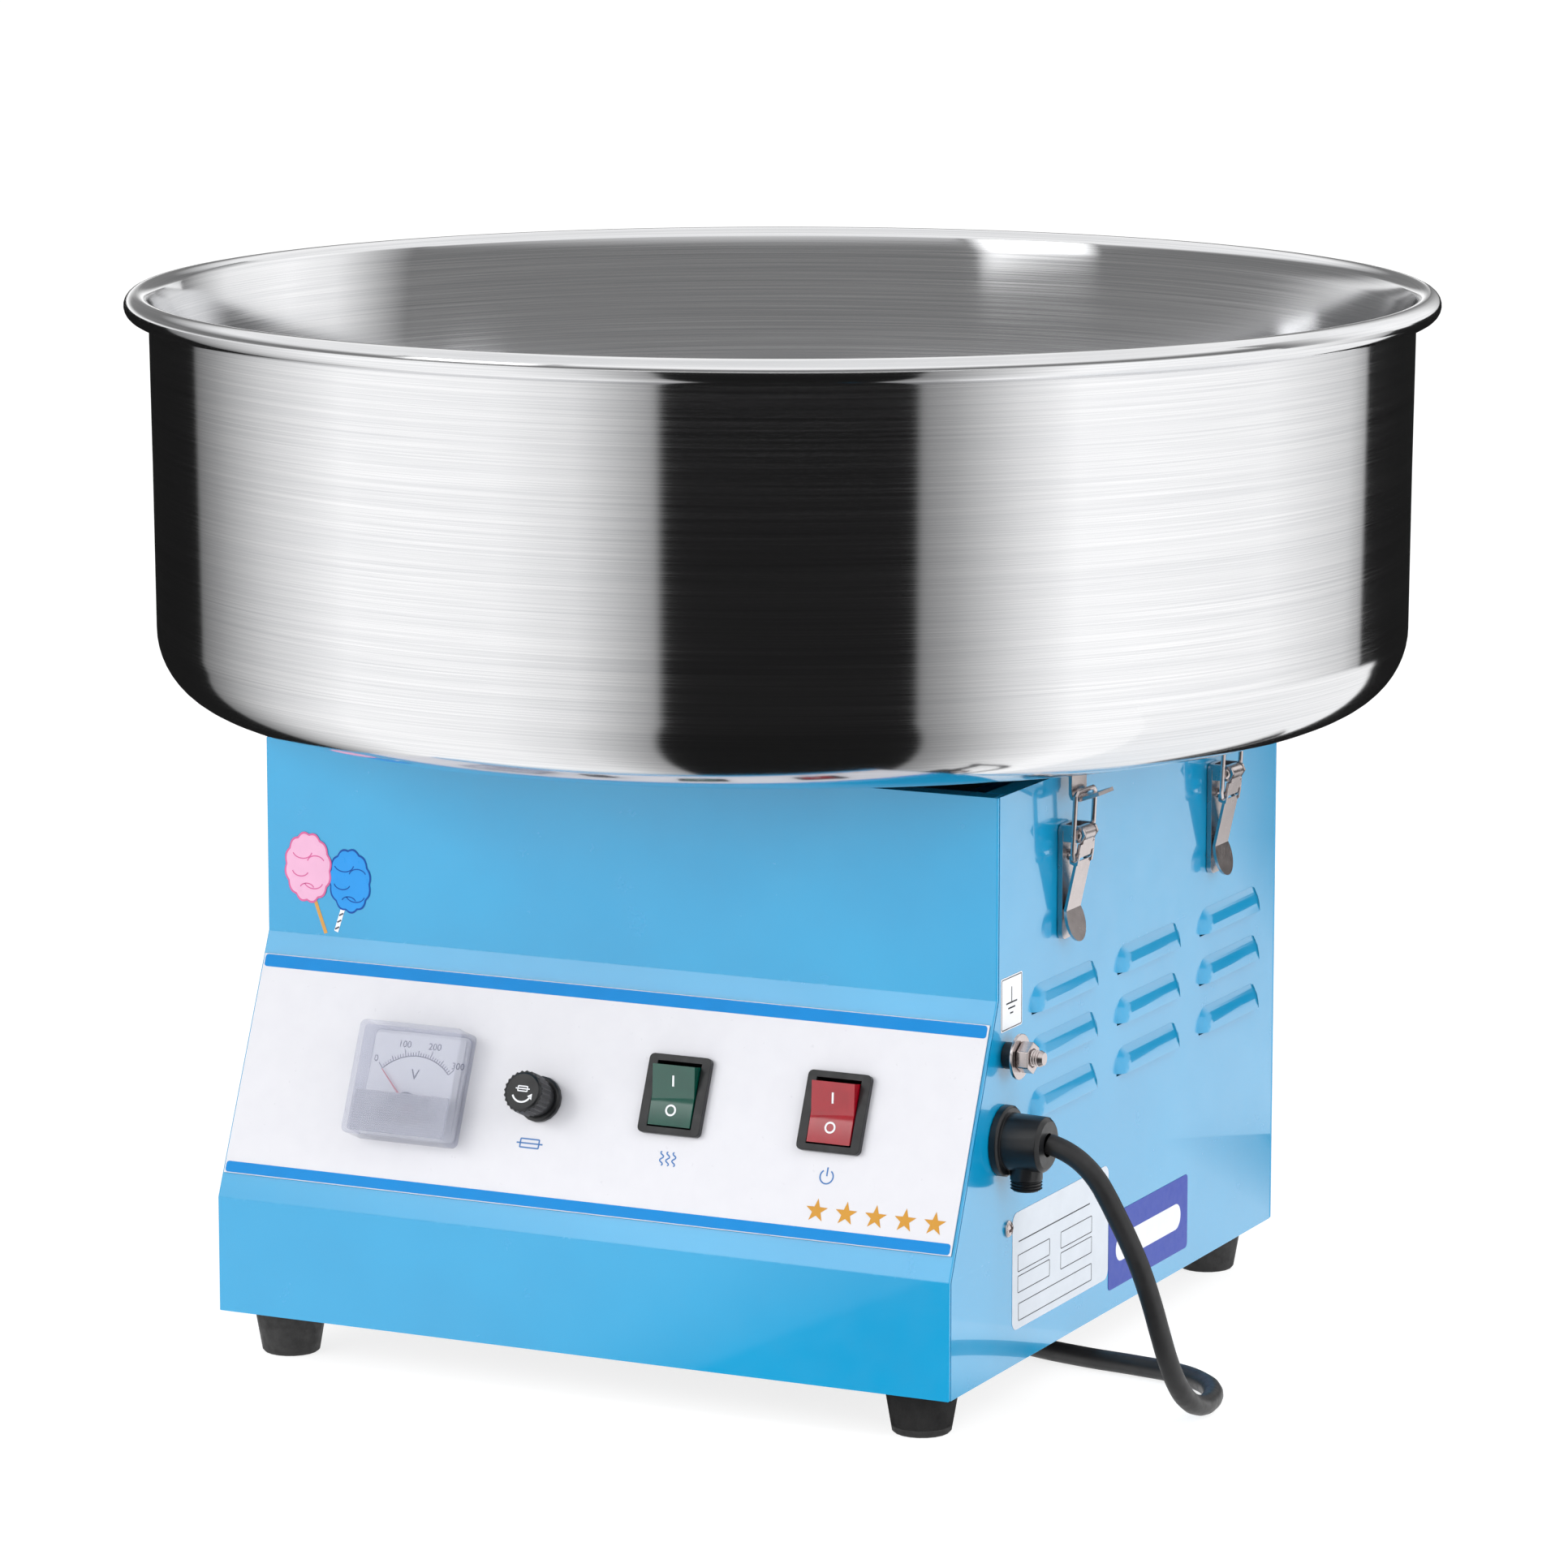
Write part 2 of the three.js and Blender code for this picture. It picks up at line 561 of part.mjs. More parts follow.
const cordRoute = [
  [GLAND_END + GAP, GLAND.y, GLAND.z],
  [183.6, -134.5, 106.9],
  [190.2, -134.5, 102.9],
  [195.9, -134.5, 97.1],
  [199.5, -134.4, 91.7],
  [204, -134.3, 83.8],
  [208.9, -134.2, 74.7],
  [213.6, -134, 64.5],
  [217.8, -133.5, 52.5],
  [220.8, -132, 40.5],
  [222.9, -129, 29.5],
  [224.3, -123.5, 19.5],
  [225, -115, 11.5],
  [225, -103.5, 6.3],
  [223.8, -90, FLOOR_Z],
  [219.5, -76, FLOOR_Z],
  [209.5, -64, FLOOR_Z],
  [195.5, -56.5, FLOOR_Z],
  [178, -53, FLOOR_Z],
  [155, -50, FLOOR_Z],
  [128, -43, FLOOR_Z],
  [101, -29, FLOOR_Z],
  [78, -7, FLOOR_Z],
  [60, 22, FLOOR_Z],
  [47, 56, FLOOR_Z],
  [38, 92, FLOOR_Z],
  [30, 127, FLOOR_Z],
  [25, 158, FLOOR_Z],
  [23, 180, FLOOR_Z],
  [22.6, 196, FLOOR_Z],
];

const cordLine = new THREE.CatmullRomCurve3(cordRoute.map((point) => new THREE.Vector3(...point)));
add('cord_run', rod(cordLine, cordRadius, 58, 8), 'rubber');

const coilRing = turned([
  [COIL.radius - CORD_DIAMETER, 0.2],
  [COIL.radius + CORD_DIAMETER, 0.2],
  [COIL.radius + CORD_DIAMETER, COIL.height],
  [COIL.radius - CORD_DIAMETER, COIL.height],
  [COIL.radius - CORD_DIAMETER, 0.2],
], 36).translate(COIL.x, COIL.y, 0);
add('cord_coil', coilRing, 'rubber');

// A two-pin earthed plug lies on the floor beside the coil, its cord end against the coil.
const PLUG = { radius: 16.5, leaves: 150, heading: 220, axisZ: 16.8 };
function plug() {
  const body = turned([
    [0, 0],
    [5.4, 0],
    [6.6, 24],
    [10, 30],
    [15.2, 34],
    [PLUG.radius, 38],
    [PLUG.radius, 62],
    [PLUG.radius - 1, 64],
    [0, 64],
  ], 18);
  const pins = [-9.5, 9.5].map((y) => post(2.4, 2.2, 63, 83, 12, 0, y));
  const angle = THREE.MathUtils.degToRad(PLUG.leaves);
  const start = COIL.radius + CORD_DIAMETER + 5.4;
  return join(body, ...pins)
    .rotateY(Math.PI / 2)
    .rotateZ(THREE.MathUtils.degToRad(PLUG.heading))
    .translate(COIL.x + start * Math.cos(angle), COIL.y + start * Math.sin(angle), PLUG.axisZ);
}
add('mains_plug', plug(), 'blackPlastic');

// ---------------------------------------------------------------- bowl and its four keepers
const wallFoot = BOWL_RIM_RADIUS - 2 * BEAD_RADIUS - 1; // the wall leans out by 1 mm on its way up
const wallTop = BOWL_RIM_RADIUS - 2 * BEAD_RADIUS;
const beadZ = BOWL_TOP - BEAD_RADIUS;
const LIP_HEIGHT = 12; // turned-up lip round the centre hole

function bowl() {
  const cornerR = wallFoot - BOWL_CORNER;
  const cornerZ = BOWL_BOTTOM + BOWL_CORNER;
  const outside = [
    [BOWL_HOLE, BOWL_BOTTOM],
    ...arc(cornerR, cornerZ, BOWL_CORNER, -90, 0, 4),
    ...arc(wallTop + BEAD_RADIUS, beadZ, BEAD_RADIUS, -150, 180, 6),
  ];
  const inside = [
    [wallTop - BOWL_SHEET, beadZ - 4],
    ...arc(cornerR, cornerZ, BOWL_CORNER - BOWL_SHEET, 0, -90, 3),
    [BOWL_HOLE + BOWL_SHEET, BOWL_BOTTOM + BOWL_SHEET],
    [BOWL_HOLE + BOWL_SHEET, BOWL_BOTTOM + LIP_HEIGHT],
    [BOWL_HOLE, BOWL_BOTTOM + LIP_HEIGHT],
    [BOWL_HOLE, BOWL_BOTTOM],
  ];
  return turned([...outside, ...inside], 60);
}
add('bowl', bowl(), 'steel');

// ---------------------------------------------------------------- toggle latches
// Each latch is drawn in the X-Z plane of a wall that faces +X, with X measured out from the
// wall and Y across the latch. The left-hand latches are the same pieces turned half round.
const PIVOT = { x: 8, z: 217.5 }; // lever pin in the base's ears
const BAIL_PIVOT = { x: 7.4, z: 208 }; // wire ends in the lever's lugs
const HOOK = { x: 8.6, z: 234 }; // the wire loop's top bar, in the keeper
const LEVER_WIDTH = 13.4;
const TAB = { radius: 8, z: 183.4 }; // the round end a thumb lifts
const BASE_WIDTH = 13.5;
const WIRE_RADIUS = 1;
const LEG_Y = 9.25;

function disc(radius, centre, fromY, toY, sides) {
  const round = new THREE.CylinderGeometry(radius, radius, toY - fromY, sides);
  return round.translate(centre.x, (fromY + toY) / 2, centre.z);
}

function latchBase() {
  const plate = roundedRectangle(BASE_WIDTH, 44.5, 3, 0, 198.7);
  const turn = new THREE.Matrix4().makeBasis(Y, Z, X);
  const sheet = extrude(plate, 2, 3).applyMatrix4(turn).translate(GAP, 0, 0);
  const cheek = outline([
    [1.5, 214.5],
    [PIVOT.x + 1.6, PIVOT.z - 3],
    [PIVOT.x + 3.4, PIVOT.z],
    [PIVOT.x + 2.4, PIVOT.z + 2.4],
    [PIVOT.x, PIVOT.z + 3.4],
    [1.5, 220.9],
  ]);
  const ears = [-1, 1].map((side) => {
    const [a, b] = side < 0 ? [-6.55, -5.15] : [5.15, 6.55];
    return alongY(cheek, a, b);
  });
  const pinHole = disc(1.5 + GAP, PIVOT, -9, 9, 12);
  return cut(join(sheet, ...ears), pinHole);
}

function latchLever() {
  const run = [
    [4.1, 188],
    [7.4, 175.2],
  ];
  const thick = 1.2;
  const shoulder = [9.8, 213.8];
  const sheet = alongY(strip([shoulder, ...run], -thick), -TAB.radius, TAB.radius);
  const face = new THREE.Matrix4().makeBasis(Y, Z, X);
  const half = LEVER_WIDTH / 2;
  const blank = join(
    extrude(outline([[-half, TAB.z], [half, TAB.z], [half, 216], [-half, 216]]), 20),
    extrude(outline(arc(0, TAB.z, TAB.radius, 0, 345, 23)), 20),
  ).applyMatrix4(face);
  const strap = common(sheet, blank);
  const neck = alongY(strip([[PIVOT.x + 2.6, PIVOT.z + 0.4], [9.7, 213.2]], -thick), -4.7, 4.7);
  const curl = disc(3.1, PIVOT, -4.7, 4.7, 16);
  const pin = disc(1.5, PIVOT, -7, 7, 10);
  const lugs = [-1, 1].map((side) => {
    const [a, b] = side < 0 ? [-7.25, -5.85] : [5.85, 7.25];
    const plate = outline([
      [BAIL_PIVOT.x - 2, BAIL_PIVOT.z - 1.6],
      [BAIL_PIVOT.x + 0.4, BAIL_PIVOT.z - 2.6],
      [BAIL_PIVOT.x + 1.2, BAIL_PIVOT.z - 2.2],
      [BAIL_PIVOT.x + 1.9, BAIL_PIVOT.z + 2.2],
      [BAIL_PIVOT.x - 0.8, BAIL_PIVOT.z + 2.4],
      [BAIL_PIVOT.x - 2.2, BAIL_PIVOT.z + 1],
    ]);
    return alongY(plate, a, b);
  });
  const wireHole = disc(WIRE_RADIUS + GAP, BAIL_PIVOT, -9, 9, 10);
  return cut(join(strap, neck, curl, pin, ...lugs), wireHole);
}

function wireBail() {
  const lean = (z) => BAIL_PIVOT.x
    + ((HOOK.x - BAIL_PIVOT.x) * (z - BAIL_PIVOT.z)) / (HOOK.z - BAIL_PIVOT.z);
  const corner = 2;
  const half = [
    [lean(BAIL_PIVOT.z), -6.1, BAIL_PIVOT.z],
    [lean(BAIL_PIVOT.z), -LEG_Y + corner, BAIL_PIVOT.z],
    [lean(BAIL_PIVOT.z + 0.5), -LEG_Y + 0.55, BAIL_PIVOT.z + 0.55],
    [lean(BAIL_PIVOT.z + corner), -LEG_Y, BAIL_PIVOT.z + corner],
    [lean(HOOK.z - corner), -LEG_Y, HOOK.z - corner],
    [lean(HOOK.z - 0.5), -LEG_Y + 0.55, HOOK.z - 0.55],
    [HOOK.x, -LEG_Y + corner, HOOK.z],
  ];
  const other = half.map(([x, y, z]) => [x, -y, z]).reverse();
  const path = new THREE.CurvePath();
  const points = [...half, ...other].map((point) => new THREE.Vector3(...point));
  for (let i = 0; i + 1 < points.length; i += 1) {
    path.add(new THREE.LineCurve3(points[i], points[i + 1]));
  }
  return rod(path, WIRE_RADIUS, 30, 6);
}

function keeper() {
  const under = BOWL_BOTTOM - GAP - 1.5;
  const line = [
    [-14, under],
    [4.6, under],
    [4.6, 233],
    [5.4, 231],
    [7.2, 230.4],
    [9.4, 230.5],
    [17.4, 233.4],
  ];
  return alongY(strip(line, 1.5), -7, 7);
}

for (const [corner, side, y] of [
  ['front_right', 1, LATCH_FRONT_Y],
  ['rear_right', 1, LATCH_REAR_Y],
  ['front_left', -1, LATCH_FRONT_Y],
  ['rear_left', -1, LATCH_REAR_Y],
]) {
  const latch = new THREE.Group();
  latch.position.set(side * RIGHT, y, 0);
  latch.rotation.z = side > 0 ? 0 : Math.PI;
  machine.add(latch);
  add(`latch_base_${corner}`, latchBase(), 'nickel', latch);
  add(`latch_lever_${corner}`, latchLever(), 'nickel', latch);
  add(`latch_bail_${corner}`, wireBail(), 'nickel', latch);
  add(`latch_keeper_${corner}`, keeper(), 'nickel', latch);
}

// ---------------------------------------------------------------- drive and spinner head
const BRIDGE = { half: 95, top: BODY_TOP - SHEET - 0.5, sheet: 1.5, skirt: 18 };
const SHAFT_RADIUS = 6;
const MOTOR = { radius: 44, bottom: 128 };
const HEAD = { bottom: 270, radius: 62, top: 326 };

function motorBridge() {
  const { half, top, sheet, skirt } = BRIDGE;
  const reach = REAR - SHEET - GAP;
  const line = [[-half, top - skirt], [-half, top], [half, top], [half, top - skirt]];
  return cut(alongY(strip(line, -sheet), -reach, reach), post(14, 14, top - 9, top + 9, 28));
}
add('motor_bridge', motorBridge(), 'darkSteel');

const seatLow = BRIDGE.top + GAP;
const seatTop = BOWL_BOTTOM - GAP;
add('bowl_seat_ring', turned([
  [80, seatLow],
  [91, seatLow],
  [91, seatTop - 2],
  [89, seatTop],
  [82, seatTop],
  [80, seatTop - 2],
  [80, seatLow],
], 32), 'rubber');

const motorTop = BRIDGE.top - BRIDGE.sheet - GAP;
add('motor_housing', turned([
  [0, MOTOR.bottom],
  [30, MOTOR.bottom],
  [34, MOTOR.bottom + 4],
  [34, MOTOR.bottom + 12],
  [MOTOR.radius, MOTOR.bottom + 14],
  [MOTOR.radius, motorTop - 7],
  [MOTOR.radius + 6, motorTop - 6],
  [MOTOR.radius + 6, motorTop],
  [SHAFT_RADIUS + GAP, motorTop],
  [SHAFT_RADIUS + GAP, MOTOR.bottom + 10],
  [0, MOTOR.bottom + 10],
], 22), 'darkSteel');

add('shaft_bearing', turned([
  [SHAFT_RADIUS + GAP, motorTop + GAP],
  [13.7, motorTop + GAP],
  [13.7, BRIDGE.top + GAP],
  [22, BRIDGE.top + GAP],
  [22, BRIDGE.top + 4],
  [SHAFT_RADIUS + GAP, BRIDGE.top + 6],
  [SHAFT_RADIUS + GAP, motorTop + GAP],
], 20), 'brass');

add('drive_shaft', post(SHAFT_RADIUS, SHAFT_RADIUS, MOTOR.bottom + 10.5, HEAD.top - 12, 24),
  'nickel');

const SLIP = { low: 248, high: 262, radius: 26 };
add('slip_rings', turned([
  [SHAFT_RADIUS + GAP, SLIP.low],
  [SLIP.radius, SLIP.low],
  [SLIP.radius, SLIP.low + 5],
  [SLIP.radius - 3, SLIP.low + 5.5],
  [SLIP.radius - 3, SLIP.high - 5.5],
  [SLIP.radius, SLIP.high - 5],
  [SLIP.radius, SLIP.high],
  [SHAFT_RADIUS + GAP, SLIP.high],
  [SHAFT_RADIUS + GAP, SLIP.low],
], 20), 'brass');

function brushBlock() {
  const base = box(34, 62, -11, 11, BRIDGE.top + GAP, SLIP.high + 2);
  const brushes = [SLIP.low + 2.5, SLIP.high - 2.5].map((z) => box(
    SLIP.radius + GAP, 36, -3.5, 3.5, z - 2, z + 2,
  ));
  return join(base, ...brushes);
}
add('brush_block', brushBlock(), 'blackPlastic');

// The head: a dished base on the shaft, the heating ring, the perforated band and the lid.
const bandLow = HEAD.bottom + 5 + GAP;
const bandTop = HEAD.top - 7 - GAP;
add('spinner_base', turned([
  [SHAFT_RADIUS + GAP, HEAD.bottom - 5],
  [14, HEAD.bottom - 5],
  [16, HEAD.bottom],
  [HEAD.radius - 4, HEAD.bottom],
  [HEAD.radius, HEAD.bottom + 2],
  [HEAD.radius, HEAD.bottom + 5],
  [14, HEAD.bottom + 5],
  [12, HEAD.bottom + 20],
  [SHAFT_RADIUS + GAP, HEAD.bottom + 20],
  [SHAFT_RADIUS + GAP, HEAD.bottom - 5],
], 28), 'aluminium');

const ring = (inner, outer, low, high, sides) => turned(
  [[inner, low], [outer, low], [outer, high], [inner, high], [inner, low]], sides,
);
add('heating_ring', ring(48, 52, bandLow + 3, bandTop - 3, 28), 'darkSteel');
add('spinner_band', ring(HEAD.radius - 3, HEAD.radius - 1.5, bandLow, bandTop, 36), 'aluminium');
add('spinner_lid', turned([
  [22, HEAD.top - 7],
  [HEAD.radius, HEAD.top - 7],
  [HEAD.radius, HEAD.top - 4],
  [HEAD.radius - 8, HEAD.top - 2],
  [26, HEAD.top],
  [22, HEAD.top],
  [22, HEAD.top - 7],
], 28), 'aluminium');

const TERMINALS = { x: 40, y: -60, length: 64, width: 22, height: 18 };
const terminalLow = BASE_TOP + GAP;
add('terminal_block', box(TERMINALS.x - TERMINALS.length / 2, TERMINALS.x + TERMINALS.length / 2,
  TERMINALS.y - TERMINALS.width / 2, TERMINALS.y + TERMINALS.width / 2, terminalLow,
  terminalLow + TERMINALS.height), 'whitePlastic');

machine.updateMatrixWorld(true);
export default machine;
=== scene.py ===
import math

import bmesh
import bpy
from mathutils import Matrix, Vector


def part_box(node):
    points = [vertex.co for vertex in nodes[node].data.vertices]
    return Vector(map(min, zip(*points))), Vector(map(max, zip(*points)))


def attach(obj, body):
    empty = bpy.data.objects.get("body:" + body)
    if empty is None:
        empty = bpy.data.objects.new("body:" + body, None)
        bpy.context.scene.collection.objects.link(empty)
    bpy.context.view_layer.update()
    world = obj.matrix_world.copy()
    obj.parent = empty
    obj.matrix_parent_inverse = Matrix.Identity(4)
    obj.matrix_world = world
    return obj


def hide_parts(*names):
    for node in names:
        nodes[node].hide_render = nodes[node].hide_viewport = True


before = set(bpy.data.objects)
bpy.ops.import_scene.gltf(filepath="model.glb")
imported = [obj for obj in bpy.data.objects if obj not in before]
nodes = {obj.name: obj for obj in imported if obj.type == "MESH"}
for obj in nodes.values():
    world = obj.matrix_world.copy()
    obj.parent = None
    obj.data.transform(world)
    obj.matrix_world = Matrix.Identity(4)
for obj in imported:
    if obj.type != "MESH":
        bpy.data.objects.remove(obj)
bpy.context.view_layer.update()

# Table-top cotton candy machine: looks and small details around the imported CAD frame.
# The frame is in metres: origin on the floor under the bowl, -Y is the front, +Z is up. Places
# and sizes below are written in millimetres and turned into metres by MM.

MM = 0.001
X = Vector((1, 0, 0))
Y = Vector((0, 1, 0))
Z = Vector((0, 0, 1))

# ---- places, from the frame
front_low, front_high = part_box("front_panel")
bowl_low, bowl_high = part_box("bowl")
band_low, band_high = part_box("spinner_band")
stud_low, stud_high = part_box("earth_stud")
plug_low, plug_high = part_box("gland_clamp_screw")

WALL_X = front_high.x / MM
BODY_BOTTOM = front_low.z / MM
FRONT_STEP = 42  # how far the upper front stands behind the lower one
LOWER_FRONT = front_low.y / MM
UPPER_FRONT = LOWER_FRONT + FRONT_STEP
REAR = -UPPER_FRONT
LOWER_CREASE = 64
UPPER_CREASE = 163


def face(origin, across, up, out):
    """The frame of a face: its own x runs across it, y up it and z out of it, in millimetres."""
    columns = Matrix((across, up, out)).transposed().to_4x4()
    return Matrix.Translation(Vector(origin) * MM) @ columns @ Matrix.Scale(MM, 4)


def at(x, y, z=0.0):
    return Matrix.Translation((x, y, z))


def turned_about(axis, degrees):
    return Matrix.Rotation(math.radians(degrees), 4, axis)


slope_up = Vector((0, FRONT_STEP, UPPER_CREASE - LOWER_CREASE)).normalized()
slope_out = X.cross(slope_up)
SLOPE = face((0, LOWER_FRONT, LOWER_CREASE), X, slope_up, slope_out)
UPPER = face((0, UPPER_FRONT, 0), X, Z, -Y)
RIGHT_WALL = face((WALL_X, 0, 0), Y, Z, X)
LEFT_WALL = face((-WALL_X, 0, 0), -Y, Z, -X)
BACK = face((0, REAR, 0), -X, Z, Y)
UPRIGHT = face((0, 0, 0), X, Y, Z)


# ---- camera and studio
CAMERA_AZIMUTH = math.radians(25.86)
CAMERA_PITCH = math.radians(10.04)
CAMERA_DISTANCE = 2.6936
CAMERA_TARGET = Vector((0.0005, 0.0003, 0.211))
CAMERA_LENS = 154.25


def direction(azimuth, pitch=0.0):
    """The unit vector away from the object at an azimuth, from the front towards the right."""
    flat = math.cos(pitch)
    return Vector((math.sin(azimuth) * flat, -math.cos(azimuth) * flat, math.sin(pitch)))


def link(thing):
    bpy.context.scene.collection.objects.link(thing)
    return thing


def make_camera():
    data = bpy.data.cameras.new("camera")
    data.sensor_width = 36
    data.lens = CAMERA_LENS
    data.clip_end = 50
    camera = link(bpy.data.objects.new("camera", data))
    back = direction(CAMERA_AZIMUTH, CAMERA_PITCH)
    camera.location = CAMERA_TARGET + back * CAMERA_DISTANCE
    camera.rotation_euler = back.to_track_quat("Z", "Y").to_euler()
    bpy.context.scene.camera = camera


class Nodes:
    """A short way to write a node tree: each call adds a node and returns one of its outputs."""

    def __init__(self, tree):
        self.tree = tree

    def feed(self, socket, value):
        if isinstance(value, bpy.types.NodeSocket):
            self.tree.links.new(value, socket)
        else:
            socket.default_value = value

    def add(self, kind, output, inputs, **settings):
        node = self.tree.nodes.new(kind)
        for name, value in settings.items():
            setattr(node, name, value)
        for name, value in inputs.items():
            self.feed(node.inputs[name], value)
        return node.outputs[output]

    def math(self, operation, first, second=0.0):
        return self.add("ShaderNodeMath", 0, {0: first, 1: second}, operation=operation)

    def place(self):
        """The point's own place in the object, which for a CAD node is the row frame."""
        return self.add("ShaderNodeTexCoord", "Object", {})

    def split(self, vector):
        node = self.tree.nodes.new("ShaderNodeSeparateXYZ")
        self.feed(node.inputs[0], vector)
        return node.outputs[0], node.outputs[1], node.outputs[2]

    def join(self, x, y, z):
        return self.add("ShaderNodeCombineXYZ", 0, {0: x, 1: y, 2: z})

    def noise(self, vector, scale, detail=2.0, rough=0.5):
        inputs = {"Vector": vector, "Scale": scale, "Detail": detail, "Roughness": rough}
        return self.add("ShaderNodeTexNoise", 0, inputs)

    def spread(self, value, from_low, from_high, to_low, to_high):
        inputs = {0: value, 1: from_low, 2: from_high, 3: to_low, 4: to_high}
        return self.add("ShaderNodeMapRange", 0, inputs, clamp=True)

    def ramp(self, factor, stops):
        node = self.tree.nodes.new("ShaderNodeValToRGB")
        elements = node.color_ramp.elements
        elements.remove(elements[-1])
        for i, (position, color) in enumerate(stops):
            element = elements[0] if i == 0 else elements.new(position)
            element.position = position
            element.color = (*color, 1)
        self.feed(node.inputs[0], factor)
        return node.outputs[0]

    def mix(self, factor, first, second):
        node = self.tree.nodes.new("ShaderNodeMix")
        node.data_type = "RGBA"
        self.feed(node.inputs[0], factor)
        for socket, color in ((node.inputs[6], first), (node.inputs[7], second)):
            self.feed(socket, color if isinstance(color, bpy.types.NodeSocket) else (*color, 1))
        return node.outputs[2]

    def bump(self, height, strength, distance, normal=None):
        inputs = {"Height": height, "Strength": strength, "Distance": distance}
        if normal is not None:
            inputs["Normal"] = normal
        return self.add("ShaderNodeBump", 0, inputs)


def grey(value):
    return (value, value, value)


def rgb(red, green, blue):
    """A linear colour from its 0 to 255 screen values."""
    def linear(value):
        value = value / 255
        return value / 12.92 if value <= 0.04045 else ((value + 0.055) / 1.055) ** 2.4
    return (linear(red), linear(green), linear(blue))


def new_material(name):
    material = bpy.data.materials.new(name)
    material.use_nodes = True
    return material, Nodes(material.node_tree), material.node_tree.nodes["Principled BSDF"]


def make_world():
    """A bright studio. Gloss sees pale walls under a darker ceiling; matt surfaces are lit
    evenly from all round."""
    world = bpy.data.worlds.new("studio")
    bpy.context.scene.world = world
    world.use_nodes = True
    n = Nodes(world.node_tree)
    z = n.split(n.add("ShaderNodeTexCoord", "Generated", {}))[2]
    walls = n.ramp(n.spread(z, -1, 1, 0, 1), [
        (0.0, grey(1.0)),
        (0.52, grey(1.0)),
        (0.56, grey(0.2)),
        (0.66, grey(0.18)),
        (0.76, grey(0.95)),
        (1.0, grey(0.85)),
    ])
    sky = n.ramp(n.math("ABSOLUTE", z), [
        (0.0, grey(0.98)),
        (0.4, grey(0.92)),
        (0.75, grey(0.5)),
        (1.0, grey(0.42)),
    ])
    gloss = n.add("ShaderNodeLightPath", "Is Glossy Ray", {})
    background = world.node_tree.nodes["Background"]
    n.feed(background.inputs["Color"], n.mix(gloss, sky, walls))
    background.inputs["Strength"].default_value = 1.22


def area_light(name, azimuth, height, distance, size, power):
    data = bpy.data.lights.new(name, "AREA")
    data.shape = "RECTANGLE"
    data.size, data.size_y = size
    data.energy = power
    light = link(bpy.data.objects.new(name, data))
    light.location = direction(math.radians(azimuth)) * distance + Z * height
    aim = light.location - Vector((0, 0, 0.15))
    light.rotation_euler = aim.to_track_quat("Z", "Y").to_euler()
    light.visible_glossy = False


FLOOR_HALF = 16


def flat_sheet(name, half_x, half_y):
    mesh = bpy.data.meshes.new(name)
    corners = [(-half_x, -half_y, 0), (half_x, -half_y, 0), (half_x, half_y, 0),
               (-half_x, half_y, 0)]
    mesh.from_pydata(corners, [], [(0, 1, 2, 3)])
    return mesh


def make_floor():
    """A pale floor lit from below, as a product table is, so that shadows stay light."""
    mesh = flat_sheet("floor", FLOOR_HALF, FLOOR_HALF)
    material, n, shader = new_material("pale_floor")
    cloud = n.spread(n.noise(n.place(), 3.0), 0.3, 0.7, 0, 1)
    n.feed(shader.inputs["Base Color"], n.mix(cloud, grey(0.36), grey(0.38)))
    shader.inputs["Roughness"].default_value = 0.7
    shader.inputs["Specular IOR Level"].default_value = 0
    shader.inputs["Emission Color"].default_value = (1, 1, 1, 1)
    shader.inputs["Emission Strength"].default_value = 0.8
    mesh.materials.append(material)
    link(bpy.data.objects.new("floor", mesh))


CARD_DISTANCE = 1.15
CARD_LIFT = 0.003
CARD_TOP = 0.42
CARD_FOOT = 0.06  # where a card that leaves the floor free begins
CARD_NEAR = 0.15  # where a card on the floor begins
DARK_TOP = 0.33  # the dark card on the right is lower, so that the louvres see over it
FLOOR_GLOW = 1.14  # what an empty stretch of floor sends back
# each card's section, as (distance from the bowl's axis, height)
LOW_CARD = [(CARD_NEAR, CARD_LIFT), (CARD_DISTANCE, CARD_LIFT), (CARD_DISTANCE, CARD_TOP)]
NEAR_CARD = [(CARD_NEAR, CARD_LIFT), (0.42, CARD_LIFT)]
HIGH_CARD = [(CARD_DISTANCE, CARD_FOOT), (CARD_DISTANCE, CARD_TOP)]
DARK_CARD = [(CARD_DISTANCE, CARD_FOOT), (CARD_DISTANCE, DARK_TOP)]
UPPER_CARD = [(CARD_DISTANCE + 0.02, DARK_TOP), (0.95, 1.0)]


def glowing(name, mesh, glow_inputs):
    """Makes a mesh a glowing panel that only gloss sees. glow_inputs takes the node tree and
    gives the inputs of the glow."""
    material = bpy.data.materials.new(name)
    material.use_nodes = True
    tree = material.node_tree
    tree.nodes.clear()
    n = Nodes(tree)
    glow = n.add("ShaderNodeEmission", 0, glow_inputs(n))
    output = tree.nodes.new("ShaderNodeOutputMaterial")
    n.feed(output.inputs["Surface"], glow)
    mesh.materials.append(material)
    panel = link(bpy.data.objects.new(name, mesh))
    panel.visible_camera = False
    panel.visible_diffuse = False
    panel.visible_shadow = False
    return panel


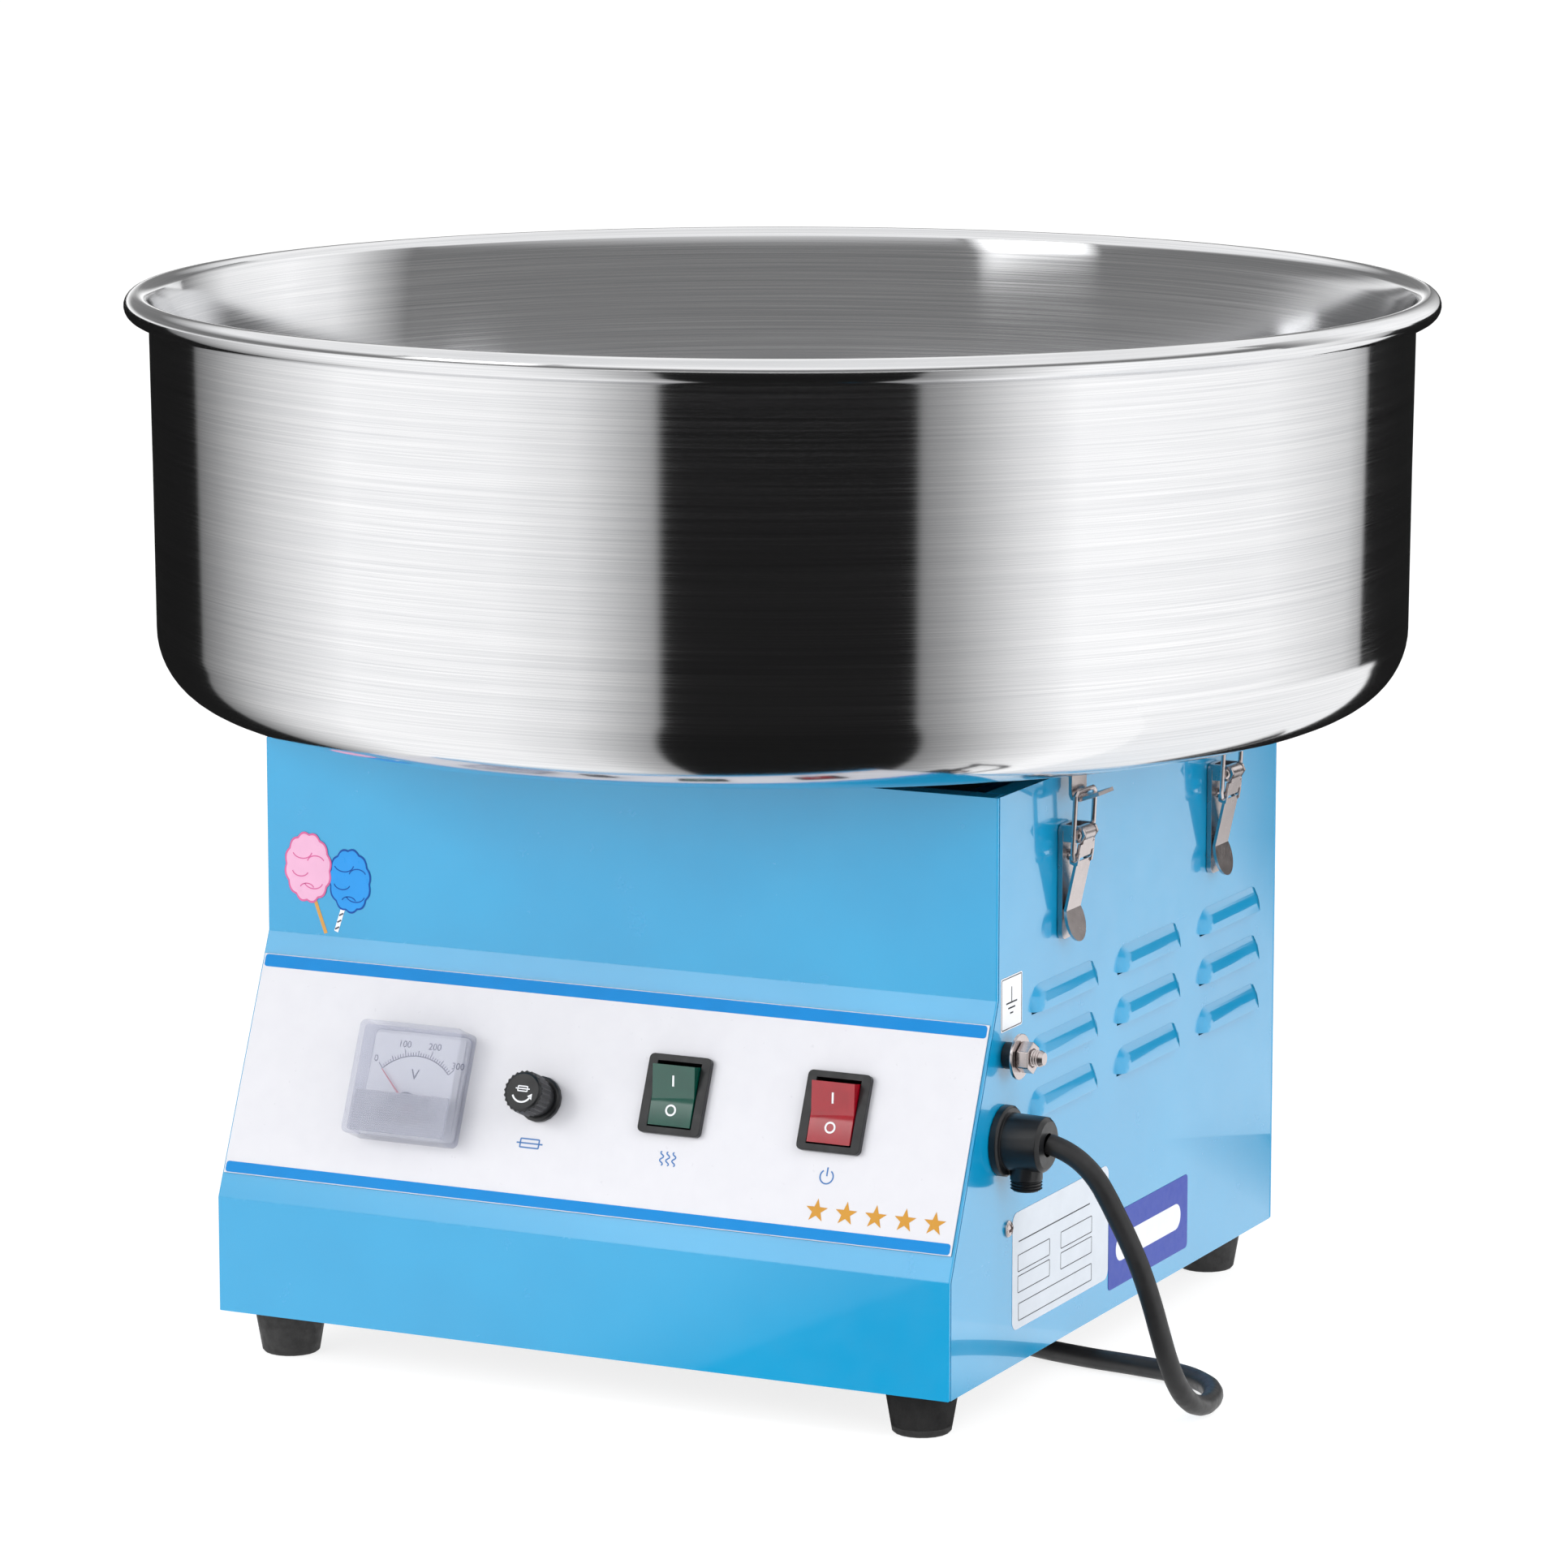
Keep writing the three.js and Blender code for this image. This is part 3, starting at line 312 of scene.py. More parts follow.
def reflection_card(name, line, stops):
    """A card bent round the object, pale or dark as those of a product studio are. line is its
    section; stops are (azimuth from the camera's in degrees, shade)."""
    first, last = stops[0][0], stops[-1][0]
    steps = 16
    bm = bmesh.new()
    rows = []
    for i in range(steps + 1):
        relative = first + (last - first) * i / steps
        out = direction(CAMERA_AZIMUTH + math.radians(relative))
        rows.append([bm.verts.new(out * reach + Z * height) for reach, height in line])
    for here, beyond in zip(rows, rows[1:]):
        for k in range(len(line) - 1):
            bm.faces.new((here[k], beyond[k], beyond[k + 1], here[k + 1]))
    mesh = bpy.data.meshes.new(name)
    bm.to_mesh(mesh)
    middle = direction(CAMERA_AZIMUTH + math.radians((first + last) / 2))
    half = math.radians((last - first) / 2)
    ramp = [((a - first) / (last - first), grey(shade)) for a, shade in stops]

    def shades(n):
        x, y, _ = n.split(n.place())
        along = n.math("ADD", n.math("MULTIPLY", x, middle.x), n.math("MULTIPLY", y, middle.y))
        across = n.math("SUBTRACT", n.math("MULTIPLY", y, middle.x),
                        n.math("MULTIPLY", x, middle.y))
        turn = n.spread(n.math("ARCTAN2", across, along), -half, half, 0, 1)
        return {"Color": n.ramp(turn, ramp), "Strength": 1.0}

    card = glowing(name, mesh, shades)


SLOPE_MIDDLE = Vector((0, -0.16, 0.11))


def soft_box(name, azimuth, pitch, distance, size, strength):
    """A soft-edged panel for the highlight on the slanted face, placed out from that face."""
    out = direction(math.radians(azimuth), math.radians(pitch))
    half_x, half_y = size[0] / 2, size[1] / 2

    def fading(n):
        x, y, _ = n.split(n.place())
        reach = n.math("MAXIMUM", n.math("DIVIDE", n.math("ABSOLUTE", x), half_x),
                       n.math("DIVIDE", n.math("ABSOLUTE", y), half_y))
        return {"Strength": n.spread(reach, 0.55, 1, strength, 0)}

    box = glowing(name, flat_sheet(name, half_x, half_y), fading)
    box.location = SLOPE_MIDDLE + out * distance
    box.rotation_euler = out.to_track_quat("Z", "Y").to_euler()


bpy.context.scene.view_settings.view_transform = "Standard"
make_camera()
make_world()
make_floor()
area_light("key_light", -30, 0.8, 1.8, (1.6, 0.9), 15)
area_light("side_light", 80, 0.6, 2.0, (1.0, 1.0), 11)
area_light("louvre_light", 62, 1.7, 1.6, (0.8, 0.8), 8)
reflection_card("card_behind_camera", LOW_CARD, [
    (-60, 1.25), (-46, 1.2), (-33, 0.98), (-20, 0.42), (-18.6, 0.01), (20.8, 0.01), (21.8, 0.3),
    (27, 0.46), (38, 0.95), (48, 1.3), (60, 1.3),
])
reflection_card("card_far_left", LOW_CARD, [
    (-178, 0.01), (-120.5, 0.01), (-119.3, 0.22), (-112, 0.38), (-95, 0.85), (-76, 1.25),
    (-58, 1.25),
])
reflection_card("card_far_right", HIGH_CARD, [(58, 1.3), (88, 1.2), (112, 0.8), (118.3, 0.5)])
reflection_card("card_dark_right", DARK_CARD, [(118.3, 0.5), (119.5, 0.01), (178, 0.01)])
reflection_card("card_low_right", LOW_CARD, [(126, FLOOR_GLOW), (128.5, 0.01), (178, 0.01)])
reflection_card("card_near_right", NEAR_CARD, [
    (112, FLOOR_GLOW), (118.3, 0.5), (119.5, 0.01), (130, 0.01),
])
reflection_card("card_above_right", UPPER_CARD, [
    (84, 0.2), (104, 1.1), (118, 1.25), (140, 1.1), (160, 0.2),
])
soft_box("slope_highlight", -30, 31, 2.2, (1.1, 0.7), 2.7)


# ---- materials
def blue_paint():
    """Thick gloss enamel on sheet steel: a slight orange peel and cloudiness, with a painted
    highlight of lighter blue and a duller, rubbed gloss along the two creases and the bottom edge."""
    material, n, shader = new_material("blue_paint")
    place = n.place()
    z = n.split(place)[2]
    cloud = n.noise(place, 14, 3)
    color = n.mix(n.spread(cloud, 0.3, 0.7, 0, 1), rgb(2, 141, 190), rgb(9, 148, 197))
    near = [
        n.spread(n.math("ABSOLUTE", n.math("SUBTRACT", z, height * MM)), 0, 0.9 * MM, 1, 0)
        for height in (LOWER_CREASE, UPPER_CREASE, BODY_BOTTOM)
    ]
    edge = n.math("MAXIMUM", n.math("MAXIMUM", near[0], near[1]), near[2])
    patchiness = n.spread(n.noise(place, 260, 4, 0.7), 0.5, 0.75, 0, 0.22)
    wear_and_highlight = n.math("MULTIPLY", edge, patchiness)
    # painted highlight: a lighter blue along the two creases and the bottom edge; the roughness
    # added there below is rubbed gloss
    n.feed(shader.inputs["Base Color"], n.mix(wear_and_highlight, color, rgb(70, 176, 218)))
    smear = n.noise(place, 60, 4, 0.6)
    rough = n.math("ADD", n.spread(smear, 0.3, 0.8, 0.18, 0.3), n.math("MULTIPLY", wear_and_highlight, 0.3))
    n.feed(shader.inputs["Roughness"], rough)
    peel = n.bump(n.noise(place, 420, 2), 0.05, 0.4 * MM)
    n.feed(shader.inputs["Normal"], n.bump(n.noise(place, 60, 2), 0.05, 0.5 * MM, peel))
    shader.inputs["Coat Weight"].default_value = 1
    shader.inputs["Coat Roughness"].default_value = 0.03
    return material


def spun_steel():
    """Stainless sheet with fine brush lines that run round the bowl."""
    material, n, shader = new_material("spun_steel")
    x, y, z = n.split(n.place())
    radius = n.math("SQRT", n.math("ADD", n.math("MULTIPLY", x, x), n.math("MULTIPLY", y, y)))
    safe = n.math("ADD", radius, 0.1 * MM)
    cosine = n.math("DIVIDE", x, safe)
    sine = n.math("DIVIDE", y, safe)
    across = n.math("MULTIPLY", n.math("ADD", z, radius), 2200)
    fine = n.noise(n.join(n.math("MULTIPLY", cosine, 1.6), n.math("MULTIPLY", sine, 1.6), across),
                   1.0, 4, 0.6)
    wide = n.noise(n.join(n.math("MULTIPLY", cosine, 2), n.math("MULTIPLY", sine, 2),
                          n.math("MULTIPLY", across, 0.1)), 1.0, 4, 0.7)
    tone = n.mix(n.spread(fine, 0.3, 0.7, 0, 1), rgb(206, 207, 209), rgb(232, 232, 233))
    dull = n.spread(wide, 0.45, 0.75, 0, 0.3)
    n.feed(shader.inputs["Base Color"], n.mix(dull, tone, rgb(204, 205, 208)))
    n.feed(shader.inputs["Roughness"], n.spread(fine, 0.3, 0.75, 0.08, 0.14))
    n.feed(shader.inputs["Normal"], n.bump(fine, 0.02, 0.1 * MM))
    n.feed(shader.inputs["Tangent"],
           n.add("ShaderNodeTangent", 0, {}, direction_type="RADIAL", axis="Z"))
    shader.inputs["Metallic"].default_value = 1
    shader.inputs["Anisotropic"].default_value = 0.6
    shader.inputs["Anisotropic Rotation"].default_value = 0.25
    return material


def metal(name, low, high, roughness, scratches=1.0, streak=(1, 1, 1)):
    """Plated or bare metal: cloudy tone, faint scratches along one way and a smudged polish."""
    material, n, shader = new_material(name)
    place = n.place()
    stretched = n.join(*(n.math("MULTIPLY", v, by) for v, by in zip(n.split(place), streak)))
    cloud = n.noise(place, 90, 3)
    n.feed(shader.inputs["Base Color"], n.mix(cloud, low, high))
    smudge = n.noise(place, 240, 4, 0.65)
    rough = n.spread(smudge, 0.25, 0.8, roughness * 0.85, roughness * 1.25)
    n.feed(shader.inputs["Roughness"], rough)
    lines = n.noise(stretched, 900, 4, 0.7)
    n.feed(shader.inputs["Normal"], n.bump(lines, 0.05 * scratches, 0.1 * MM))
    shader.inputs["Metallic"].default_value = 1
    return material


def moulded(name, low, high, roughness, grain=1400, depth=0.15, **constants):
    """Moulded plastic, rubber or print: fine grain, a little uneven in tone and sheen."""
    material, n, shader = new_material(name)
    place = n.place()
    cloud = n.noise(place, 120, 3)
    n.feed(shader.inputs["Base Color"], n.mix(cloud, low, high))
    smudge = n.noise(place, 300, 4, 0.6)
    rough = n.spread(smudge, 0.25, 0.8, roughness * 0.8, roughness * 1.3)
    n.feed(shader.inputs["Roughness"], rough)
    n.feed(shader.inputs["Normal"], n.bump(n.noise(place, grain, 3), depth, 0.1 * MM))
    for socket, value in constants.items():
        shader.inputs[socket.replace("_", " ")].default_value = value
    return material


def clear(name, tint, roughness, cover):
    """Clear moulded plastic or glass with faint handling marks; cover is how much of what lies
    behind it hides."""
    material, n, shader = new_material(name)
    place = n.place()
    marks = n.noise(place, 500, 4, 0.7)
    n.feed(shader.inputs["Base Color"], n.mix(marks, tint, [v * 0.94 for v in tint]))
    n.feed(shader.inputs["Roughness"], n.spread(marks, 0.3, 0.8, roughness, roughness * 2))
    n.feed(shader.inputs["Normal"], n.bump(n.noise(place, 60, 2), 0.02, 0.1 * MM))
    shader.inputs["Coat Weight"].default_value = 1
    shader.inputs["Coat Roughness"].default_value = 0.03
    shader.inputs["Alpha"].default_value = cover
    return material


def ink(name, red, green, blue, roughness=0.4):
    """Screen-printed ink: one tone with a slight mottle."""
    tone = rgb(red, green, blue)
    return moulded(name, [v * 0.93 for v in tone], [min(v * 1.05, 1) for v in tone], roughness,
                   600, 0.04, Specular_IOR_Level=0.15)


PLATE_STREAK = (1, 1, 0.06)
finishes = {
    "blue_paint": blue_paint(),
    "steel": spun_steel(),
    "nickel": metal("nickel_plate", rgb(198, 188, 187), rgb(208, 199, 197), 0.24, 0.2,
                    PLATE_STREAK),
    "dark_steel": metal("dark_steel", rgb(70, 73, 78), rgb(98, 100, 105), 0.42),
    "aluminium": metal("turned_aluminium", rgb(186, 188, 192), rgb(214, 215, 217), 0.26, 1.6),
    "brass": metal("brass", rgb(176, 138, 66), rgb(204, 168, 92), 0.28),
    "rubber": moulded("foot_rubber", rgb(18, 18, 19), rgb(42, 41, 41), 0.7, 900, 0.4),
    "cord_rubber": moulded("cord_rubber", rgb(16, 16, 18), rgb(32, 32, 33), 0.45, 1200, 0.2),
    "black_plastic": moulded("black_plastic", rgb(14, 15, 17), rgb(28, 29, 31), 0.34),
    "clear_plastic": clear("clear_plastic", rgb(160, 164, 186), 0.05, 0.28),
    "glass": clear("fuse_glass", rgb(214, 224, 224), 0.05, 0.3),
    "white_plastic": moulded("white_plastic", rgb(226, 227, 231), rgb(240, 240, 243), 0.45),
    "needle_red": moulded("needle_red", rgb(190, 16, 28), rgb(214, 26, 36), 0.35),
    "green_rocker": moulded("green_rocker", rgb(0, 62, 52), rgb(4, 84, 68), 0.14, 900, 0.03,
                            Transmission_Weight=0.2, Coat_Weight=0.8, Coat_Roughness=0.05),
    "red_rocker": moulded("red_rocker", rgb(140, 2, 22), rgb(172, 8, 34), 0.14, 900, 0.03,
                          Transmission_Weight=0.2, Coat_Weight=0.8, Coat_Roughness=0.05),
    "printed_sheet": moulded("printed_sheet", rgb(199, 199, 205), rgb(205, 205, 210), 0.32, 700,
                             0.05, Coat_Weight=0.3),
}
inks = {
    "stripe": ink("stripe_blue", 0, 124, 194),
    "caption": ink("caption_blue", 72, 116, 172),
    "star": ink("star_gold", 192, 138, 50, 0.3),
    "black": ink("black_ink", 28, 30, 34),
    "grey": ink("grey_ink", 64, 68, 80),
    "white": ink("white_ink", 222, 224, 228),
    "pink": ink("puff_pink", 216, 166, 194, 0.3),
    "pink_line": ink("puff_pink_line", 198, 96, 144, 0.3),
    "blue": ink("puff_blue", 44, 140, 212, 0.3),
    "blue_line": ink("puff_blue_line", 20, 74, 150, 0.3),
    "stick": ink("stick_tan", 196, 146, 76),
    "plate": ink("plate_silver", 200, 206, 214, 0.35),
    "indigo": ink("label_indigo", 58, 74, 158, 0.35),
}

# ---- carried-over CAD pieces
EDGE_WIDTH = {  # by how a node's name starts; any other node gets FINE_EDGE
    "front_panel": 0.9,
    "right_side_panel": 0.4,
    "left_side_panel": 0.4,
    "rear_panel": 0.5,
    "control_fascia": 0.1,
    "voltmeter_cover": 0.35,
    "voltmeter_movement": 0.3,
    "fuse_holder": 0.3,
    "foot": 0.5,
    "heat_": 0.4,
    "power_": 0.4,
    "earth_nut": 0.4,
    "mains_plug": 0.5,
    "terminal_block": 0.4,
}
FINE_EDGE = 0.2
SHARP_ANGLE = math.radians(32)
CREASE_ANGLE = math.radians(15)  # the front panel's two folds are shallow


def soften(node, width, sharp):
    """Rounds a CAD node's sharp edges a little, so that they catch the light as real ones do."""
    mesh = node.data
    if "custom_normal" in mesh.attributes:
        mesh.attributes.remove(mesh.attributes["custom_normal"])
    for polygon in mesh.polygons:
        polygon.use_smooth = True
    weld = node.modifiers.new("weld", "WELD")
    weld.merge_threshold = 0.005 * MM
    bevel = node.modifiers.new("edges", "BEVEL")
    bevel.width = width * MM
    bevel.segments = 2
    bevel.limit_method = "ANGLE"
    bevel.angle_limit = sharp
    node.modifiers.new("normals", "WEIGHTED_NORMAL")


for name, node in nodes.items():
    slot = node.data.materials[0].name.split(".")[0]
    node.data.materials[0] = finishes[slot]
    widths = [width for prefix, width in EDGE_WIDTH.items() if name.startswith(prefix)]
    sharp = CREASE_ANGLE if name == "front_panel" else SHARP_ANGLE
    soften(node, widths[0] if widths else FINE_EDGE, sharp)


# ---- piece builders
def finish_piece(obj, body, slot, material=None):
    """Puts a piece on its body, with the slot's own finish or another one."""
    obj.data.materials.append(material or finishes[slot])
    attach(obj, body)
    return obj


def piece(name, bm, place, body, slot, material=None, smooth_angle=35):
    """Turns mesh data in millimetres into a piece that rides on a body."""
    bmesh.ops.recalc_face_normals(bm, faces=bm.faces)
    mesh = bpy.data.meshes.new(name)
    bm.to_mesh(mesh)
    bm.free()
    mesh.transform(place)
    for polygon in mesh.polygons:
        polygon.use_smooth = True
    mesh.set_sharp_from_angle(angle=math.radians(smooth_angle))
    return finish_piece(link(bpy.data.objects.new(name, mesh)), body, slot, material)


def add_slab(bm, outline, low, high, bevel=0.0):
    """A flat plate from its outline, with its upper edge eased."""
    inner = outline
    if bevel > 0:
        centre = Vector((sum(p[0] for p in outline), sum(p[1] for p in outline))) / len(outline)
        reach = max((Vector(p) - centre).length for p in outline)
        shrink = 1 - bevel / reach
        inner = [centre + (Vector(p) - centre) * shrink for p in outline]
    rings = [[bm.verts.new((p[0], p[1], low)) for p in outline]]
    if bevel > 0:
        rings.append([bm.verts.new((p[0], p[1], high - bevel)) for p in outline])
    rings.append([bm.verts.new((p[0], p[1], high)) for p in inner])
    count = len(outline)
    for lower, upper in zip(rings, rings[1:]):
        for i in range(count):
            j = (i + 1) % count
            bm.faces.new((lower[i], lower[j], upper[j], upper[i]))
    bm.faces.new(list(reversed(rings[0])))
    bm.faces.new(rings[-1])


def add_lathe(bm, profile, steps, matrix=None):
    """A solid of revolution about z from a closed line of (radius, height) points."""
    matrix = matrix or Matrix()
    rings = []
    for i in range(steps):
        a = 2 * math.pi * i / steps
        cosine, sine = math.cos(a), math.sin(a)
        rings.append([
            bm.verts.new(matrix @ Vector((r * cosine, r * sine, h))) for r, h in profile
        ])
    count = len(profile)
    for here, beyond in zip(rings, rings[1:] + rings[:1]):
        for k in range(count):
            m = (k + 1) % count
            if profile[k][0] == 0 and profile[m][0] == 0:
                continue
            if profile[k][0] == 0:
                corners = [here[k], beyond[m], here[m]]
            elif profile[m][0] == 0:
                corners = [here[k], beyond[k], here[m]]
            else:
                corners = [here[k], beyond[k], beyond[m], here[m]]
            bm.faces.new(corners)
    fresh = [vert for ring in rings for vert in ring]
    bmesh.ops.remove_doubles(bm, verts=fresh, dist=1e-4)


def rounded(width, height, radius, x=0.0, y=0.0, steps=6):
    """The outline of a rectangle with rounded corners."""
    points = []
    corners = ((1, 1, 0), (-1, 1, 90), (-1, -1, 180), (1, -1, 270))
    for side_x, side_y, start in corners:
        cx = x + side_x * (width / 2 - radius)
        cy = y + side_y * (height / 2 - radius)
        for i in range(steps + 1):
            a = math.radians(start + 90 * i / steps)
            points.append((cx + radius * math.cos(a), cy + radius * math.sin(a)))
    return points


def arc_points(radius, start, end, steps, x=0.0, y=0.0):
    angles = [math.radians(start + (end - start) * i / steps) for i in range(steps + 1)]
    return [(x + radius * math.cos(a), y + radius * math.sin(a)) for a in angles]


def add_stroke(bm, points, width, low, high):
    """A drawn line of one width along points, as a thin raised ribbon."""
    left, right = [], []
    for i, point in enumerate(points):
        before = Vector(points[max(i - 1, 0)])
        after = Vector(points[min(i + 1, len(points) - 1)])
        along = (after - before).normalized()
        side = Vector((-along.y, along.x)) * width / 2
        left.append(Vector(point) + side)
        right.append(Vector(point) - side)
    for i in range(len(points) - 1):
        quad = [right[i], right[i + 1], left[i + 1], left[i]]
        add_slab(bm, quad, low, high)


def add_text(bm, text, size, x, y, low, high):
    """A number or unit, drawn in the built-in plain face and centred on a point."""
    curve = bpy.data.curves.new("figure", "FONT")
    curve.body = text
    curve.size = size
    curve.align_x = "CENTER"
    curve.align_y = "CENTER"
    curve.extrude = (high - low) / 2
    curve.resolution_u = 3
    holder = link(bpy.data.objects.new("figure", curve))
    depsgraph = bpy.context.evaluated_depsgraph_get()
    mesh = bpy.data.meshes.new_from_object(holder.evaluated_get(depsgraph))
    mesh.transform(at(x, y, (low + high) / 2))
    bm.from_mesh(mesh)
    bpy.data.objects.remove(holder)
    bpy.data.curves.remove(curve)
    bpy.data.meshes.remove(mesh)


# ---- mains cord
CORD_DIAMETER = 8

cord_route = [
    (176.3, -134.5, 109.1),
    (178.3, -134.5, 108.6),
    (184.9, -134.5, 106.1),
    (190.9, -134.5, 102.2),
    (195.9, -134.5, 97.1),
    (199.5, -134.4, 91.7),
    (204, -134.3, 83.8),
    (208.9, -134.2, 74.7),
    (213.6, -134, 64.5),
    (217.8, -133.5, 52.5),
    (220.8, -132, 40.5),
    (222.9, -129, 29.5),
    (224.3, -123.5, 19.5),
    (225, -115, 11.5),
    (225, -103.5, 6.3),
    (223.8, -90, 4.2),
    (219.5, -76, 4.2),
    (209.5, -64, 4.2),
    (195.5, -56.5, 4.2),
    (178, -53, 4.2),
    (155, -50, 4.2),
    (128, -43, 4.2),
    (101, -29, 4.2),
    (78, -7, 4.2),
    (60, 22, 4.2),
    (47, 56, 4.2),
    (38, 92, 4.2),
    (30, 127, 4.2),
    (25, 158, 4.2),
    (23, 180, 4.2),
]
COIL_CENTRE = (-34, 200)
COIL_RADIUS = 56.7
COIL_START, COIL_END = -4, 1230  # degrees round the coil, from the run to the plug
CORD_REST = 4.2  # the cord's centre above the floor it lies on
COIL_STEPS = [  # (from this many degrees, to this many, change of radius, change of height)
    (COIL_START, 70, -8.5, 0),
    (356, 430, -8.3, 0),
    (680, 765, 0, 8.4),
    (1000, 1085, 8.3, 0),
    (1140, COIL_END, 0, 4.2),
    (1150, 1240, 9.2, 0),
]


def eased(value, start, end):
    """0 before start, 1 after end and a smooth rise between."""
    t = min(max((value - start) / (end - start), 0), 1)
    return t * t * (3 - 2 * t)


def coil_point(turn):
    """The cord's centre after that many degrees round the coil: in from the run, two turns on
    the floor, more on top of them and out into the plug."""
    radius, height = COIL_RADIUS, CORD_REST
    for start, end, outward, upward in COIL_STEPS:
        share = eased(turn, start, end)
        radius += outward * share
        height += upward * share
    a = math.radians(turn)
    x, y = COIL_CENTRE
    return (x + radius * math.cos(a), y + radius * math.sin(a), height)


def make_cord():
    turns = [coil_point(turn) for turn in [*range(COIL_START, COIL_END, 20), COIL_END]]
    curve = bpy.data.curves.new("mains_cord", "CURVE")
    curve.dimensions = "3D"
    curve.resolution_u = 6
    curve.bevel_depth = CORD_DIAMETER / 2 * MM
    curve.bevel_resolution = 5
    spline = curve.splines.new("BEZIER")
    points = cord_route + turns
    spline.bezier_points.add(len(points) - 1)
    for bezier, point in zip(spline.bezier_points, points):
        bezier.co = Vector(point) * MM
        bezier.handle_left_type = "AUTO"
        bezier.handle_right_type = "AUTO"
    cord = finish_piece(link(bpy.data.objects.new("mains_cord", curve)), "machine",
                        "cord_rubber")
    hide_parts("cord_run", "cord_coil")


make_cord()


# ---- bowl
RIM_RADIUS = 259.8
BEAD_RADIUS = 5
BOWL_TOP = bowl_high.z / MM
BOWL_BOTTOM = bowl_low.z / MM
BOWL_CORNER = 30
BOWL_SHEET = 1.5
BOWL_HOLE = 75
BOWL_LIP = 12


def make_bowl():
    """The spun bowl: flat floor with a turned-up lip round its hole, rounded corner, wall that
    leans out a little and a rim rolled outwards into a bead."""
    wall_top = RIM_RADIUS - 2 * BEAD_RADIUS
    wall_foot = wall_top - 1
    bead_z = BOWL_TOP - BEAD_RADIUS
    corner_r = wall_foot - BOWL_CORNER
    corner_z = BOWL_BOTTOM + BOWL_CORNER
    bead = arc_points(BEAD_RADIUS, -160, 180, 22, wall_top + BEAD_RADIUS, bead_z)
    outside = [(BOWL_HOLE, BOWL_BOTTOM)]
    outside += arc_points(BOWL_CORNER, -90, 0, 14, corner_r, corner_z)
    outside += [(wall_foot + 0.5, (corner_z + bead_z) / 2)]
    inside = [(wall_top - BOWL_SHEET, bead_z - 4)]
    inside += arc_points(BOWL_CORNER - BOWL_SHEET, 0, -90, 12, corner_r, corner_z)
    inside += [
        (BOWL_HOLE + BOWL_SHEET + 1.5, BOWL_BOTTOM + BOWL_SHEET),
        (BOWL_HOLE + BOWL_SHEET, BOWL_BOTTOM + BOWL_SHEET + 1.5),
        (BOWL_HOLE + BOWL_SHEET, BOWL_BOTTOM + BOWL_LIP),
        (BOWL_HOLE, BOWL_BOTTOM + BOWL_LIP),
    ]
    bm = bmesh.new()
    add_lathe(bm, outside + bead + inside, 256)
    bowl = piece("spun_bowl", bm, UPRIGHT, "bowl", "steel", smooth_angle=40)
    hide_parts("bowl")


make_bowl()


# ---- printed control face
PRINT_LOW = 0.9  # the printed sheet's outer face, out from the slanted panel
PRINT_HIGH = 1.0
FASCIA_HALF = WALL_X - 1.6
STRIPES = ((10.3, 14.6), (92.8, 97.7))  # lower and upper edge of each, up the slanted panel


def printed(name, draw, place, ink_name, low=PRINT_LOW, high=PRINT_HIGH, body="machine",
            slot="printed_sheet"):
    bm = bmesh.new()
    draw(bm, low, high)
    return piece(name, bm, place, body, slot, inks[ink_name])


def draw_stripes(bm, low, high):
    for foot, top in STRIPES:
        outline = rounded(2 * FASCIA_HALF, top - foot, 1.2, 0, (foot + top) / 2)
        add_slab(bm, outline, low, high)


STAR_COUNT = 5
STAR_X = 98.8
STAR_PITCH = 12.17
STAR_Y = 21.3
STAR_RADIUS = 4.7
STAR_INNER = 0.4


def draw_stars(bm, low, high):
    for i in range(STAR_COUNT):
        centre = (STAR_X + STAR_PITCH * i, STAR_Y)
        points = []
        for k in range(10):
            reach = STAR_RADIUS * (1 if k % 2 == 0 else STAR_INNER)
            a = math.radians(90 + 36 * k)
            points.append((centre[0] + reach * math.cos(a), STAR_Y + reach * math.sin(a)))
        for k in range(0, 10, 2):
            tip, left, right = points[k], points[(k + 1) % 10], points[k - 1]
            add_slab(bm, [centre, right, tip, left], low, high)


def draw_captions(bm, low, high):
    """Plain signs under the controls: a fuse link, rising heat and a power mark."""
    y = 34.5
    fuse_x, heat_x, power_x = -25.6, 33.7, 100.5
    line = 0.55
    add_stroke(bm, [(fuse_x - 5.6, y), (fuse_x + 5.6, y)], line, low, high)
    box = rounded(8, 3.4, 0.3, fuse_x, y)
    add_stroke(bm, box + box[:1], line, low, high)
    for shift in (-2.6, 0, 2.6):
        wave = []
        for k in range(13):
            rise = -2.7 + 5.4 * k / 12
            wave.append((heat_x + shift + 0.75 * math.sin(rise * 2.2), y + rise))
        add_stroke(bm, wave, line, low, high)
    ring = arc_points(2.7, 125, 415, 22, power_x, y)
    add_stroke(bm, ring, line, low, high)
    add_stroke(bm, [(power_x, y + 0.2), (power_x, y + 3.6)], line, low, high)


printed("fascia_stripes", draw_stripes, SLOPE, "stripe")
printed("fascia_stars", draw_stars, SLOPE, "star")
printed("fascia_captions", draw_captions, SLOPE, "caption")


# ---- voltmeter
METER_X, METER_Y, METER_SIZE = -78.5, 51.5, 45
NEEDLE_PIVOT_Y = -9
DIAL_TOP = 4.1
METER = SLOPE @ at(METER_X, METER_Y)
COVER_INSIDE = METER_SIZE - 3


